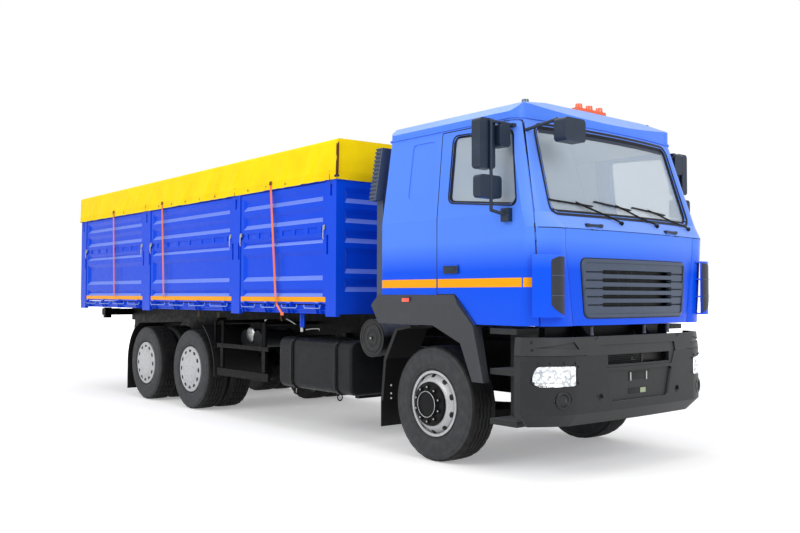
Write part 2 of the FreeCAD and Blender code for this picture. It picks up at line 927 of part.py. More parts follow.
# Wheels
def tyre(x, y):
    """One tyre: bead, sidewall bulge, shoulder and tread as one turned ring."""
    height = tyre_radius - bead_radius
    wall_low, wall_middle, wall_high = [bead_radius + height * share for share in tyre_wall_shares]
    half = [
        (bead_radius, bead_half_width), (bead_radius + tyre_wall_step, bead_half_width + tyre_bead_lip),
        (wall_low, tyre_half_width - tyre_wall_step), (wall_middle, tyre_half_width),
        (wall_high, tyre_half_width - tyre_wall_step / 2),
        (tyre_radius - tyre_shoulder_drop / 3, tyre_tread_half_width + tyre_shoulder_drop / 3),
        (tyre_radius, tyre_tread_half_width - tyre_shoulder_drop),
    ]
    profile = [(radius, y + share) for radius, share in half]
    profile += [(radius, y - share) for radius, share in reversed(half)]
    return turned(profile, x, axle_height)


def rim_barrel(y):
    """The rim's barrel with its two flanges, as a closed profile about the wheel's middle y."""
    seat = bead_radius - rim_seat_gap
    flange_in = rim_flange_half_width - rim_flange_thickness
    profile = [
        (seat, y - flange_in), (rim_flange_radius, y - flange_in),
        (rim_flange_radius, y - rim_flange_half_width),
        (seat - rim_wall, y - rim_flange_half_width), (seat - rim_wall, y + rim_flange_half_width),
        (rim_flange_radius, y + rim_flange_half_width), (rim_flange_radius, y + flange_in),
        (seat, y + flange_in),
    ]
    return profile


def front_rim(side):
    """Front rim: barrel, outward disc with round vents, hub with its nose, and the brake drum."""
    y = side * front_wheel_half_track
    inside = bead_radius - rim_seat_gap - rim_wall / 2
    disc_y = y + side * (rim_flange_half_width - rim_disc_setback)
    hub_y = disc_y + side * 2 * disc_thickness
    disc = [(spindle_radius + spindle_gap, hub_y), (hub_radius, hub_y), (inside, disc_y),
            (inside, disc_y - side * disc_thickness), (hub_radius, hub_y - side * disc_thickness),
            (spindle_radius + spindle_gap, hub_y - side * disc_thickness)]
    nose_y = hub_y + side * hub_nose_length
    nose = [(0, nose_y), (hub_nose_radius * hub_nose_share, nose_y),
            (hub_nose_radius, hub_y + side * hub_nose_length * hub_nose_share),
            (hub_nose_radius, hub_y - side * disc_thickness),
            (spindle_radius + spindle_gap, hub_y - side * disc_thickness),
            (spindle_radius + spindle_gap, side * (spindle_tip + knuckle_ear_gap)),
            (0, side * (spindle_tip + knuckle_ear_gap))]
    drum_in = side * (kingpin_half_spacing + eye_radius + knuckle_web_thickness + 3 * knuckle_ear_gap)
    drum_out = hub_y - side * disc_thickness
    drum = [(drum_radius - drum_wall, drum_in), (drum_radius, drum_in), (drum_radius, drum_out),
            (drum_radius - drum_wall, drum_out)]
    rim = join([turned(profile, 0, axle_height) for profile in (rim_barrel(y), disc, nose, drum)])
    for index in range(vent_count):
        angle = 2 * math.pi * index / vent_count
        centre = vec(vent_circle_radius * math.cos(angle), disc_y,
                     axle_height + vent_circle_radius * math.sin(angle))
        through = vec(0, rim_disc_setback, 0)
        rim = rim.cut(rod(centre - through, centre + through, vent_radius))
    return rim


def rear_rim(x, side):
    """Twin rims on one hub, with the outer one's cover."""
    outer_y = side * outer_twin_half_track
    inner_y = side * inner_twin_half_track
    middle_y = (outer_y + inner_y) / 2
    bore = spindle_radius + spindle_gap
    inside = bead_radius - rim_seat_gap - rim_wall / 2
    disc = [(bore, middle_y - side * disc_thickness), (inside, middle_y - side * 3 * disc_thickness),
            (inside, middle_y - side * 4 * disc_thickness),
            (drum_radius, middle_y - side * 5 * disc_thickness),
            (bore, middle_y - side * 5 * disc_thickness)]
    outer_disc = [(bore, middle_y - side * disc_thickness), (inside, middle_y + side * 3 * disc_thickness),
                  (inside, middle_y + side * 4 * disc_thickness), (bore, middle_y + side * disc_thickness)]
    cover_y = side * (outer_twin_half_track + rim_flange_half_width)
    cover = [(0, cover_y + side * wheel_cover_dish), (hub_radius, cover_y + side * wheel_cover_dish),
             (wheel_cover_radius, cover_y + side * wheel_cover_thickness), (wheel_cover_radius, cover_y),
             (wheel_cover_radius - wheel_cover_rim, cover_y),
             (hub_radius, cover_y + side * (wheel_cover_dish - wheel_cover_thickness)),
             (0, cover_y + side * (wheel_cover_dish - wheel_cover_thickness))]
    barrels = [turned(rim_barrel(outer_y), x, axle_height), turned(rim_barrel(inner_y), x, axle_height)]
    spacer_profile = [(bead_radius - rim_seat_gap - rim_wall, inner_y), (bead_radius - rim_seat_gap, inner_y),
                      (bead_radius - rim_seat_gap, outer_y), (bead_radius - rim_seat_gap - rim_wall, outer_y)]
    pieces = barrels + [turned(disc, x, axle_height), turned(outer_disc, x, axle_height),
                        turned(spacer_profile, x, axle_height), turned(cover, x, axle_height)]
    rim = join(pieces)
    for index in range(cover_slot_count):
        angle = 2 * math.pi * index / cover_slot_count
        hole = rod(vec(0, cover_y - side * wheel_cover_dish, 0),
                   vec(0, cover_y + side * 2 * wheel_cover_dish, 0),
                   cover_slot_radius)
        hole.translate(vec(cover_slot_circle_radius, 0, 0))
        hole.rotate(vec(0, 0, 0), vec(0, 1, 0), math.degrees(angle))
        hole.translate(vec(x, 0, axle_height))
        rim = rim.cut(hole)
    return rim


# Cab shell
def cab_outline(z, rear, half_width, shoulder_x, corner_x, corner_y, nose, inset):
    """One level of the cab in plan, all of it moved inwards by inset."""
    side_y = half_width - inset
    rear_x = rear + inset
    front_x = corner_x - inset
    front_y = corner_y - inset / 3
    nose_x = nose - inset
    turn = cab_rear_round
    bulge_x = shoulder_x + (front_x - shoulder_x) * cab_bulge_share
    bulge_y = side_y - (side_y - front_y) * (1 - cab_bulge_share)
    short = turn * (1 - math.sqrt(1 / 2))
    right = [vec(rear_x, turn - side_y, z), vec(rear_x + short, short - side_y, z),
             vec(rear_x + turn, -side_y, z),
             vec(shoulder_x, -side_y, z), vec(bulge_x, -bulge_y, z), vec(front_x, -front_y, z)]
    left = [vec(point.x, -point.y, z) for point in right]
    edges = [
        Part.Arc(right[0], right[1], right[2]).toShape(),
        Part.makeLine(right[2], right[3]),
        Part.Arc(right[3], right[4], right[5]).toShape(),
        Part.Arc(right[5], vec(nose_x, 0, z), left[5]).toShape(),
        Part.Arc(left[5], left[4], left[3]).toShape(),
        Part.makeLine(left[3], left[2]),
        Part.Arc(left[2], left[1], left[0]).toShape(),
        Part.makeLine(left[0], right[0]),
    ]
    return Part.Wire(edges)


def cab_levels(inset, bottom, top):
    """The cab's outlines from bottom to top, with the front leaning back above the sill."""
    lean = cab_rear_lean * (top - cab_belt) / (cab_seam - cab_belt)
    share = (top - cab_sill) / (cab_seam - cab_sill)

    def between(low, high):
        return low + (high - low) * share

    return [
        cab_outline(bottom, cab_rear, cab_half_width, cab_shoulder_x, cab_corner_x, cab_corner_y, cab_nose,
                    inset),
        cab_outline(cab_belt, cab_rear, cab_half_width, cab_belt_shoulder_x, cab_belt_corner_x,
                    cab_belt_corner_y, cab_belt_nose, inset),
        cab_outline(cab_sill, cab_rear, cab_half_width, cab_sill_shoulder_x, cab_sill_corner_x,
                    cab_sill_corner_y, cab_sill_nose, inset),
        cab_outline(top, cab_rear + lean, between(cab_half_width, cab_top_half_width),
                    between(cab_sill_shoulder_x, cab_top_shoulder_x),
                    between(cab_sill_corner_x, cab_top_corner_x),
                    between(cab_sill_corner_y, cab_top_corner_y), between(cab_sill_nose, cab_top_nose),
                    inset),
    ]


def cab_form(inset, bottom, top):
    return Part.makeLoft(cab_levels(inset, bottom, top), True, True)


def door_outline(grow):
    """The door in side view, larger by grow on each edge."""
    return [
        (door_rear_low_x - grow, trim_top + door_trim_gap - grow),
        (trim_top_front_x + door_trim_gap - grow, trim_top + door_trim_gap - grow),
        (trim_knee_x + door_trim_gap - grow, trim_knee_z + door_trim_gap),
        (trim_knee_x + door_trim_gap, door_bottom - grow),
        (door_front_x + grow, door_bottom - grow),
        (door_front_x + grow, cab_belt),
        (door_front_top_x + grow, door_top + grow),
        (door_rear_top_x - grow, door_top + grow),
        (door_rear_low_x - grow, cab_sill),
    ]


def window_outline(grow):
    return [
        (window_rear_low_x - grow, window_rear_low_z - grow),
        (window_front_low_x + grow, window_front_low_z - grow),
        (window_front_top_x + grow, window_front_top_z + grow),
        (window_rear_top_x - grow, window_rear_top_z + grow),
    ]


def screen_outline(grow):
    return [
        (-screen_low_half_width - grow, screen_low_z - grow),
        (screen_low_half_width + grow, screen_low_z - grow),
        (screen_top_half_width + grow, screen_top_z + grow),
        (-screen_top_half_width - grow, screen_top_z + grow),
    ]


def panel_outline(grow):
    return [
        (-panel_low_half_width - grow, panel_low_z - overrun),
        (panel_low_half_width + grow, panel_low_z - overrun),
        (panel_low_half_width + grow, panel_low_z), (panel_top_half_width + grow, cab_belt - panel_straight),
        (panel_top_half_width + grow, cab_belt + grow - panel_gap),
        (-panel_top_half_width - grow, cab_belt + grow - panel_gap),
        (-panel_top_half_width - grow, cab_belt - panel_straight),
        (-panel_low_half_width - grow, panel_low_z),
    ]


def trim_outline(grow):
    return [
        (trim_tail_x, trim_tail_z), (cab_rear, trim_top + grow),
        (trim_top_front_x + grow / 2, trim_top + grow),
        (trim_knee_x + grow, trim_knee_z + grow / 2), (trim_foot_outer_x + grow, trim_foot_z),
        (trim_foot_inner_x, trim_foot_z), (trim_arch_bulge_x, trim_arch_bulge_z), (trim_arch_x, trim_arch_z),
        (trim_rear_x, trim_arch_z),
    ]


cab_inner_reach = cab_half_width - 3 * cab_wall
panel_back_x = cab_corner_x - cab_wall - panel_gap
cab_outer = cab_form(0, cab_bottom, cab_seam)
cab_hollow = cab_form(cab_wall, cab_bottom, cab_seam)
cab_shell = cab_outer.cut(cab_hollow)
glass_layer = cab_form(glass_depth, cab_bottom, cab_seam).cut(
    cab_form(glass_depth + glass_thickness, cab_bottom, cab_seam))


def cab_body():
    """The cab's welded shell: floor, rear and side walls, pillars and cowl, with its openings cut."""
    floor = cab_form(cab_wall / 2, cab_bottom, cab_seam)
    reach = cab_half_width + overrun
    floor = floor.common(block(cab_rear, cab_nose, -reach, reach, cab_bottom,
                               cab_bottom + cab_floor_thickness))
    body = cab_shell.fuse(floor)
    for side in (-1, 1):
        inner = side * cab_inner_reach
        outer = side * reach
        y_low, y_high = min(inner, outer), max(inner, outer)
        body = body.cut(side_plate(door_outline(door_gap), y_low, y_high))
        body = body.cut(side_plate(trim_outline(trim_gap), y_low, y_high))
        body = body.cut(blind_panel(side))
    body = body.cut(cross_plate(screen_outline(0), cab_inner_reach / 2, cab_nose + overrun, screen_round))
    body = body.cut(cross_plate(panel_outline(panel_gap), panel_back_x, cab_nose + overrun))
    pieces = [body]
    for side in (-1, 1):
        pieces.append(tilt_lug(side))
        pieces += door_leaves(side)
        y = side * panel_leaf_y
        leaf = block(panel_back_x, cab_nose + overrun, y - panel_leaf_half_width, y + panel_leaf_half_width,
                     cab_belt - panel_gap + hinge_leaf_gap, cab_belt + panel_gap)
        pieces.append(leaf.common(cab_shell))
    return join(pieces)


def door_leaves(side):
    """The two hinge leaves that fill the front seam of a door, fixed to the pillar."""
    reach = side * (cab_half_width + overrun)
    inner = side * cab_inner_reach
    leaves = []
    for z in (hinge_leaf_low_z, hinge_leaf_high_z):
        leaf = block(door_front_x + hinge_leaf_gap, door_front_x + 2 * door_gap, min(inner, reach),
                     max(inner, reach),
                     z, z + hinge_leaf_height)
        leaves.append(leaf.common(cab_shell))
    return leaves


def tilt_lug(side):
    """The cab's lug outside the frame's ear, with the tilt pin fixed in it."""
    inner = rail_half_spacing + knuckle_ear_gap
    y_low = min(side * inner, side * (inner + bearer_width / 2))
    y_high = max(side * inner, side * (inner + bearer_width / 2))
    half = tilt_bracket_reach / 2
    top = cab_bottom + cab_floor_thickness / 2
    outline = [(tilt_lug_rear_x, top), (tilt_pivot_x - half, tilt_pivot_z - half),
               (tilt_pivot_x + half, tilt_pivot_z - half), (tilt_pivot_x + half, tilt_pivot_z + half),
               (tilt_lug_front_x, top)]
    lug = side_plate(outline, y_low, y_high)
    pin = rod(vec(tilt_pivot_x, side * (rail_half_spacing - rail_flange), tilt_pivot_z),
              vec(tilt_pivot_x, side * (inner + bearer_width / 2), tilt_pivot_z), tilt_pin_radius)
    return lug.fuse(pin)


def wall_y(z):
    """How far out the cab's side wall stands at a height."""
    if z <= cab_sill:
        return cab_half_width
    share = (z - cab_sill) / (cab_seam - cab_sill)
    return cab_half_width + (cab_top_half_width - cab_half_width) * share


def blind_panel(side):
    """The shallow recess of the blanked rear side window."""
    low_y = wall_y(blind_low_z) - blind_depth
    top_y = wall_y(blind_top_z) - blind_depth
    reach = cab_half_width + overrun
    outline = [(blind_rear_x, blind_low_z), (blind_front_x, blind_low_z), (blind_front_x, blind_top_z),
               (blind_rear_x, blind_top_z)]
    column = side_plate(outline, -reach, 0, blind_round)
    wedge = cross_plate([(-low_y, blind_low_z), (-reach, blind_low_z), (-reach, blind_top_z),
                         (-top_y, blind_top_z)],
                        blind_rear_x, blind_front_x)
    recess = column.common(wedge)
    return recess if side < 0 else across(recess)


def cab_door(side):
    """A door cut from the shell itself, with its window open."""
    inner = side * cab_inner_reach
    outer = side * (cab_half_width + overrun)
    y_low, y_high = min(inner, outer), max(inner, outer)
    door = cab_shell.common(side_plate(door_outline(0), y_low, y_high))
    door = door.cut(side_plate(window_outline(0), y_low, y_high, window_round))
    strip = [(door_rear_low_x - door_gap, trim_top - door_gap),
             (door_rear_low_x + door_relief, trim_top - door_gap),
             (door_rear_low_x + door_relief, cab_sill), (door_rear_top_x + door_relief, door_top + door_gap),
             (door_rear_top_x - door_gap, door_top + door_gap), (door_rear_low_x - door_gap, cab_sill)]
    relief = side_plate(strip, y_low, y_high).common(cab_form(cab_wall / 3, cab_bottom, cab_seam))
    door = door.cut(relief)
    handle_y = side * (cab_half_width - door_handle_reach / 2)
    handle = block(door_handle_x, door_handle_x + door_handle_length,
                   min(handle_y, handle_y + side * door_handle_reach),
                   max(handle_y, handle_y + side * door_handle_reach),
                   door_handle_z, door_handle_z + door_handle_height)
    return join([door, handle])


def door_glass(side):
    inner = side * cab_inner_reach
    outer = side * (cab_half_width + overrun)
    y_low, y_high = min(inner, outer), max(inner, outer)
    return glass_layer.common(side_plate(window_outline(-glass_gap), y_low, y_high, window_round))


def windscreen():
    window = cross_plate(screen_outline(-glass_gap), cab_inner_reach / 2, cab_nose + overrun, screen_round)
    return glass_layer.common(window)


def cab_roof():
    """The roof cap: the cab's top outline cut by its side and front profiles, and hollowed."""
    def cap(inset):
        bottom = cab_seam + cab_seat_gap
        outline = cab_outline(bottom, cab_rear + cab_rear_lean, cab_top_half_width, cab_top_shoulder_x,
                              cab_top_corner_x, cab_top_corner_y, cab_top_nose, inset)
        column = Part.Face(outline).extrude(vec(0, 0, roof_top - cab_seam))
        side_profile = [
            (cab_rear + cab_rear_lean + inset, bottom - inset),
            (cab_top_nose + cab_wall - inset, bottom - inset),
            (cab_top_nose - inset, roof_front_height - inset), (roof_brow_x, roof_brow_height - inset),
            (roof_crown_x, roof_top - inset),
            (cab_rear + 2 * cab_rear_lean + inset, roof_rear_height - inset),
        ]
        reach = cab_half_width
        side_form = side_plate(side_profile, -reach, reach, [0, 0, 0, roof_round, roof_round, roof_round])
        steep = (roof_shoulder_height - roof_side_height) / (cab_top_half_width - roof_shoulder_y)
        wide = cab_top_half_width + roof_round
        wide_height = roof_side_height - steep * roof_round
        front_profile = [
            (inset - wide, bottom - inset), (wide - inset, bottom - inset),
            (wide - inset, wide_height), (roof_shoulder_y - inset, roof_shoulder_height - inset),
            (0, roof_top + roof_round - inset),
            (inset - roof_shoulder_y, roof_shoulder_height - inset), (inset - wide, wide_height),
        ]
        flat = roof_round
        front_form = cross_plate(front_profile, cab_rear - overrun, cab_nose + overrun,
                                 [0, 0, flat, flat, 0, flat, flat])
        return column.common(side_form).common(front_form)

    def band(inset):
        outline = cab_outline(cab_seam + cab_seat_gap, cab_rear + cab_rear_lean, cab_top_half_width,
                              cab_top_shoulder_x, cab_top_corner_x, cab_top_corner_y, cab_top_nose, inset)
        return Part.Face(outline).extrude(vec(0, 0, gutter_height))

    gutter = band(-gutter_reach).cut(band(-cab_seat_gap))
    return cap(0).cut(cap(roof_skin)), gutter


def arch_trim(side):
    """The grey plastic trim round the front wheel's arch."""
    inner = cab_half_width - trim_depth
    outer = cab_half_width + trim_proud
    y_low, y_high = min(side * inner, side * outer), max(side * inner, side * outer)
    body = side_plate(trim_outline(0), y_low, y_high)
    skin = cab_half_width + trim_edge
    far = cab_half_width + overrun
    above = [(side * outer, trim_crease_z), (side * far, trim_crease_z), (side * far, trim_top),
             (side * skin, trim_top)]
    below = [(side * outer, trim_crease_z), (side * far, trim_crease_z), (side * far, trim_foot_z - overrun),
             (side * skin, trim_foot_z - overrun), (side * skin, trim_foot_z)]
    for bevel in (above, below):
        body = body.cut(cross_plate(bevel, cab_rear - overrun, cab_nose))
    return body


def front_panel():
    """The middle front panel, hinged along its top edge, with its grille opening."""
    panel = cab_shell.common(cross_plate(panel_outline(0), panel_back_x, cab_nose + overrun))
    reach = cab_half_width
    panel = panel.common(block(cab_rear, cab_nose + overrun, -reach, reach, panel_low_z, cab_belt))
    opening = cross_plate(grille_outline(0), panel_back_x, cab_nose + overrun, grille_round)
    return panel.cut(opening)


def grille_outline(grow):
    return [
        (-grille_low_half_width - grow, grille_low_z - grow),
        (grille_low_half_width + grow, grille_low_z - grow),
        (grille_top_half_width + grow, grille_top_z + grow),
        (-grille_top_half_width - grow, grille_top_z + grow),
    ]


def grille():
    """The louvred grille: a frame filled by slats, with dark slots between their middles."""
    skin_outer = cab_form(-grille_proud, cab_bottom, cab_seam)
    skin_inner = cab_form(grille_depth, cab_bottom, cab_seam)
    body = cross_plate(grille_outline(-grille_gap), panel_back_x, cab_nose + overrun, grille_round)
    body = body.common(skin_outer).cut(skin_inner)
    low = grille_low_z + grille_border
    pitch = (grille_top_z - grille_border - low) / grille_slat_count
    for index in range(1, grille_slat_count):
        z = low + index * pitch
        slot = block(panel_back_x, cab_nose + overrun, -slot_half_width, slot_half_width,
                     z - grille_slat_gap / 2, z + grille_slat_gap / 2)
        body = body.cut(slot)
        groove = block(cab_nose - grille_depth, cab_nose + overrun, -grille_top_half_width + grille_border,
                       grille_top_half_width - grille_border, z - grille_slat_gap / 6,
                       z + grille_slat_gap / 6)
        body = body.cut(groove)
    return body


def corner_deflector(side):
    """An air guide that stands off the front corner, open ahead, on fins that reach the cab's skin."""
    def form(points, z_low, height):
        outer = Part.Arc(vec(deflector_rear_x, -cab_half_width, z_low),
                         vec(deflector_bulge_x, -deflector_bulge_y, z_low),
                         vec(deflector_front_x, -deflector_front_y, z_low)).toShape()
        back = [vec(deflector_front_x, -deflector_front_y, z_low)] + [vec(x, -y, z_low) for x, y in points]
        back.append(vec(deflector_rear_x, -cab_half_width, z_low))
        lines = [Part.makeLine(back[index], back[index + 1]) for index in range(len(back) - 1)]
        return Part.Face(Part.Wire([outer] + lines)).extrude(vec(0, 0, height))

    inside = cab_form(-glass_gap, cab_bottom, cab_seam)
    height = deflector_top - deflector_low
    skin = 2 * deflector_skin
    guide = form([(deflector_front_x - deflector_skin, deflector_front_y),
                  (deflector_bulge_x - skin, deflector_bulge_y - skin / 2),
                  (deflector_rear_x, cab_half_width - deflector_skin)], deflector_low, height)
    pieces = [guide]
    pitch = (height - deflector_fin_thickness) / (deflector_fin_count - 1)
    for index in range(deflector_fin_count):
        foot = [(deflector_front_x - skin, deflector_front_y - skin),
                (cab_corner_x - cab_wall, cab_belt_corner_y),
                (deflector_rear_x, cab_belt_corner_y)]
        pieces.append(form(foot, deflector_low + index * pitch, deflector_fin_thickness))
    whole = join(pieces).cut(inside)
    return whole if side < 0 else across(whole)


# Bumper and lamps
def bumper_outline(z, inset):
    """One level of the bumper in plan, all of it moved inwards by inset."""
    bulge_inset = inset * bumper_bulge_share
    right = [vec(bumper_rear_x, inset - bumper_half_width, z),
             vec(bumper_shoulder_x, inset - bumper_half_width, z),
             vec(bumper_bulge_x - bulge_inset, bulge_inset - bumper_bulge_y, z),
             vec(bumper_corner_x - inset, -bumper_corner_y, z)]
    left = [vec(point.x, -point.y, z) for point in right]
    edges = [
        Part.makeLine(right[0], right[1]),
        Part.Arc(right[1], right[2], right[3]).toShape(),
        Part.Arc(right[3], vec(bumper_nose - inset, 0, z), left[3]).toShape(),
        Part.Arc(left[3], left[2], left[1]).toShape(),
        Part.makeLine(left[1], left[0]),
        Part.makeLine(left[0], right[0]),
    ]
    return Part.Wire(edges)


def bumper_form(inset):
    levels = [
        bumper_outline(bumper_bottom, bumper_bottom_inset + inset), bumper_outline(bumper_lower_edge, inset),
        bumper_outline(bumper_seam, inset), bumper_outline(bumper_top, bumper_top_inset + inset),
    ]
    return Part.makeLoft(levels, True, True)


bumper_solid = bumper_form(0)
bumper_shell = bumper_solid.cut(bumper_form(bumper_wall)).cut(
    block(bumper_rear_x - overrun, bumper_rear_x + bumper_wall, bumper_wall - bumper_half_width,
          bumper_half_width - bumper_wall, bumper_bottom - overrun, bumper_top + overrun))


def headlamp_column(side, gap):
    """The headlamp's outline pushed back through the bumper, smaller all round by the gap."""
    outer = headlamp_outer_y - gap
    inner = headlamp_inner_y + gap
    outline = [(side * outer, headlamp_low + headlamp_round / 2 + gap), (side * inner, headlamp_low + gap),
               (side * inner, headlamp_top - gap), (side * (outer - headlamp_round), headlamp_top - gap)]
    return cross_plate(outline, bumper_rear_x, bumper_nose + overrun, headlamp_round - gap)


def fog_lamp(side, radius):
    return rod(vec(bumper_rear_x, side * fog_lamp_y, fog_lamp_z),
               vec(bumper_nose + overrun, side * fog_lamp_y, fog_lamp_z), radius)


def bumper_presses():
    """Tools for what is pressed into the bumper's face: the opening's frame, wedges, notches and seams."""
    low_half = frame_half_width - (frame_top - frame_low) / 4
    outlines = [[(-low_half, frame_low), (low_half, frame_low), (frame_half_width, bumper_opening_top),
                 (frame_half_width - press_depth, frame_top), (press_depth - frame_half_width, frame_top),
                 (-frame_half_width, bumper_opening_top)]]
    for side in (-1, 1):
        outlines.append([(side * wedge_tip_y, wedge_tip_z), (side * wedge_top_y, wedge_top_z),
                         (side * wedge_inner_y, wedge_low_z)])
        outlines.append([(side * (notch_y - notch_half_width), bumper_top),
                         (side * notch_y, bumper_top - notch_height),
                         (side * (notch_y + notch_half_width), bumper_top),
                         (side * notch_y, bumper_top + overrun)])
        outlines.append([(side * bumper_seam_inner_y, bumper_seam),
                         (side * (bumper_half_width + overrun), bumper_seam),
                         (side * (bumper_half_width + overrun), bumper_seam + bumper_seam_width),
                         (side * bumper_seam_inner_y, bumper_seam + bumper_seam_width)])
    kept = bumper_form(press_depth)
    return [cross_plate(outline, bumper_rear_x, bumper_nose + overrun).cut(kept) for outline in outlines]


def front_bumper():
    """The bumper shell with its air opening, plate recess, tow holes and lamp pockets."""
    body = bumper_shell
    for tool in bumper_presses():
        body = body.cut(tool)
    reach_x = bumper_nose + overrun
    body = body.cut(block(bumper_corner_x - 3 * bumper_wall, reach_x, -bumper_opening_half_width,
                          bumper_opening_half_width, bumper_opening_low, bumper_opening_top))
    recess = [(-plate_recess_low_half_width, plate_recess_low),
              (plate_recess_low_half_width, plate_recess_low),
              (plate_recess_half_width, plate_recess_top), (-plate_recess_half_width, plate_recess_top)]
    body = body.cut(cross_plate(recess, bumper_nose - 2 * plate_recess_depth, reach_x, bumper_wall / 2))
    for side in (-1, 1):
        tow = rod(vec(bumper_corner_x - 3 * bumper_wall, side * tow_pin_half_spacing, tow_pin_z),
                  vec(reach_x, side * tow_pin_half_spacing, tow_pin_z), tow_hole_radius)
        body = body.cut(tow)
        body = body.cut(headlamp_column(side, 0))
        body = body.cut(fog_lamp(side, fog_lamp_radius))
        body = body.fuse(bumper_arm(side))
    return body.removeSplitter()


def bumper_arm(side):
    """The stay that carries the bumper on the frame rail."""
    y_low = min(side * rail_half_spacing, side * (rail_half_spacing + bumper_wall))
    return block(bumper_arm_rear_x, bumper_nose - bumper_wall, y_low, y_low + bumper_wall,
                 rail_bottom, rail_bottom + rail_height / 3)


def headlamps():
    lens_form = bumper_form(headlamp_inset).cut(bumper_form(bumper_wall))
    lenses = []
    for side in (-1, 1):
        lenses.append(lens_form.common(headlamp_column(side, headlamp_gap)))
        lenses.append(lens_form.common(fog_lamp(side, fog_lamp_radius - headlamp_gap)))
    return lenses


def cab_step(side):
    """Three treads below a door on a hanger plate, carried on the frame."""
    def outward(inner, outer):
        return min(side * inner, side * outer), max(side * inner, side * outer)

    y_low, y_high = outward(step_inner_y, step_outer_y)
    pieces = []
    for z in (step_low_z, step_middle_z, step_top_z):
        pieces.append(block(step_rear_x, step_front_x, y_low, y_high, z, z + step_tread_thickness))
    back_low, back_high = outward(step_inner_y, step_inner_y + step_wall)
    pieces.append(block(step_rear_x, step_front_x, back_low, back_high, step_low_z,
                        step_top_z + step_tread_thickness))
    arm_low, arm_high = outward(rail_half_spacing, step_inner_y + step_wall)
    pieces.append(block(step_front_x - step_tread_thickness, step_front_x, arm_low, arm_high,
                        step_hanger_z, step_hanger_z + step_tread_thickness))
    return join(pieces)


# Mudguards
def front_guard(side):
    """The guard behind a front wheel: a bent skin with an outer lip, a flap below, and its stay."""
    line = [(front_guard_rear_x, front_guard_low_z), (front_guard_knee_x, front_guard_knee_z),
            (front_guard_top_x, front_guard_top_z), (front_guard_tip_x, front_guard_tip_z)]
    inner = [(x + guard_skin, z - guard_skin / 2) for x, z in line]
    inner[0] = (front_guard_rear_x + guard_skin, front_guard_low_z)
    skin = side_plate(line + inner[::-1], -front_guard_outer_y, -front_guard_inner_y)
    lip_line = [(x + front_guard_lip, z - front_guard_lip / 2) for x, z in line]
    lip_line[0] = (front_guard_rear_x + front_guard_lip, front_guard_low_z)
    lip = side_plate(line + lip_line[::-1], -front_guard_outer_y, -front_guard_outer_y + guard_skin)
    flap = block(front_guard_rear_x, front_guard_rear_x + guard_skin, -front_guard_outer_y,
                 -front_guard_inner_y,
                 front_flap_bottom, front_guard_low_z)
    stay_z = front_guard_knee_z - guard_arm_radius
    stay = rod(vec(front_guard_knee_x - guard_arm_radius, -front_guard_outer_y + front_guard_lip, stay_z),
               vec(front_guard_knee_x - guard_arm_radius, -rail_half_spacing, stay_z), guard_arm_radius)
    guard = join([skin, lip, flap, stay])
    return guard if side < 0 else across(guard)


def arc_guard(x, radius, start, end, outer_y, inner_y):
    """A guard skin bent round an axle between two angles, measured from straight ahead."""
    def at(angle, distance):
        turn = math.radians(angle)
        return vec(x + distance * math.cos(turn), -outer_y, axle_height + distance * math.sin(turn))

    middle = (start + end) / 2
    outside = Part.Arc(at(start, radius), at(middle, radius), at(end, radius)).toShape()
    inside = Part.Arc(at(end, radius - guard_skin), at(middle, radius - guard_skin),
                      at(start, radius - guard_skin)).toShape()
    wire = Part.Wire([outside, Part.makeLine(at(end, radius), at(end, radius - guard_skin)), inside,
                      Part.makeLine(at(start, radius - guard_skin), at(start, radius))])
    return Part.Face(wire).extrude(vec(0, outer_y - inner_y, 0))


def rear_guards(side):
    """The quarter guards ahead of and behind the rear wheels, with the flap and the stays."""
    lead = arc_guard(second_axle_x, lead_guard_radius, lead_guard_start, lead_guard_end,
                     rear_guard_outer_y, rear_guard_inner_y)
    tail = arc_guard(third_axle_x, tail_guard_radius, tail_guard_start, tail_guard_end,
                     rear_guard_outer_y, rear_guard_inner_y)
    end_angle = math.radians(tail_guard_end)
    flap_x = third_axle_x + tail_guard_radius * math.cos(end_angle)
    flap_top = axle_height + tail_guard_radius * math.sin(end_angle) + guard_skin
    flap = block(flap_x, flap_x + guard_skin, -rear_guard_outer_y, -rear_guard_inner_y, rear_flap_bottom,
                 flap_top)
    solids = []
    for guard, x, radius, angle in ((lead, second_axle_x, lead_guard_radius,
                                     (lead_guard_start + lead_guard_end) / 2),
                                    (tail, third_axle_x, tail_guard_radius,
                                     (tail_guard_start + tail_guard_end) / 2)):
        turn = math.radians(angle)
        reach = radius + guard_arm_radius / 2
        stay_x = x + reach * math.cos(turn)
        stay_z = axle_height + reach * math.sin(turn)
        stay = rod(vec(stay_x, -rear_guard_outer_y + front_guard_lip, stay_z),
                   vec(stay_x, -rail_half_spacing, stay_z),
                   guard_arm_radius)
        pieces = [guard, stay] + ([flap] if guard is tail else [])
        solids.append(join(pieces))
    return solids if side < 0 else [across(solid) for solid in solids]


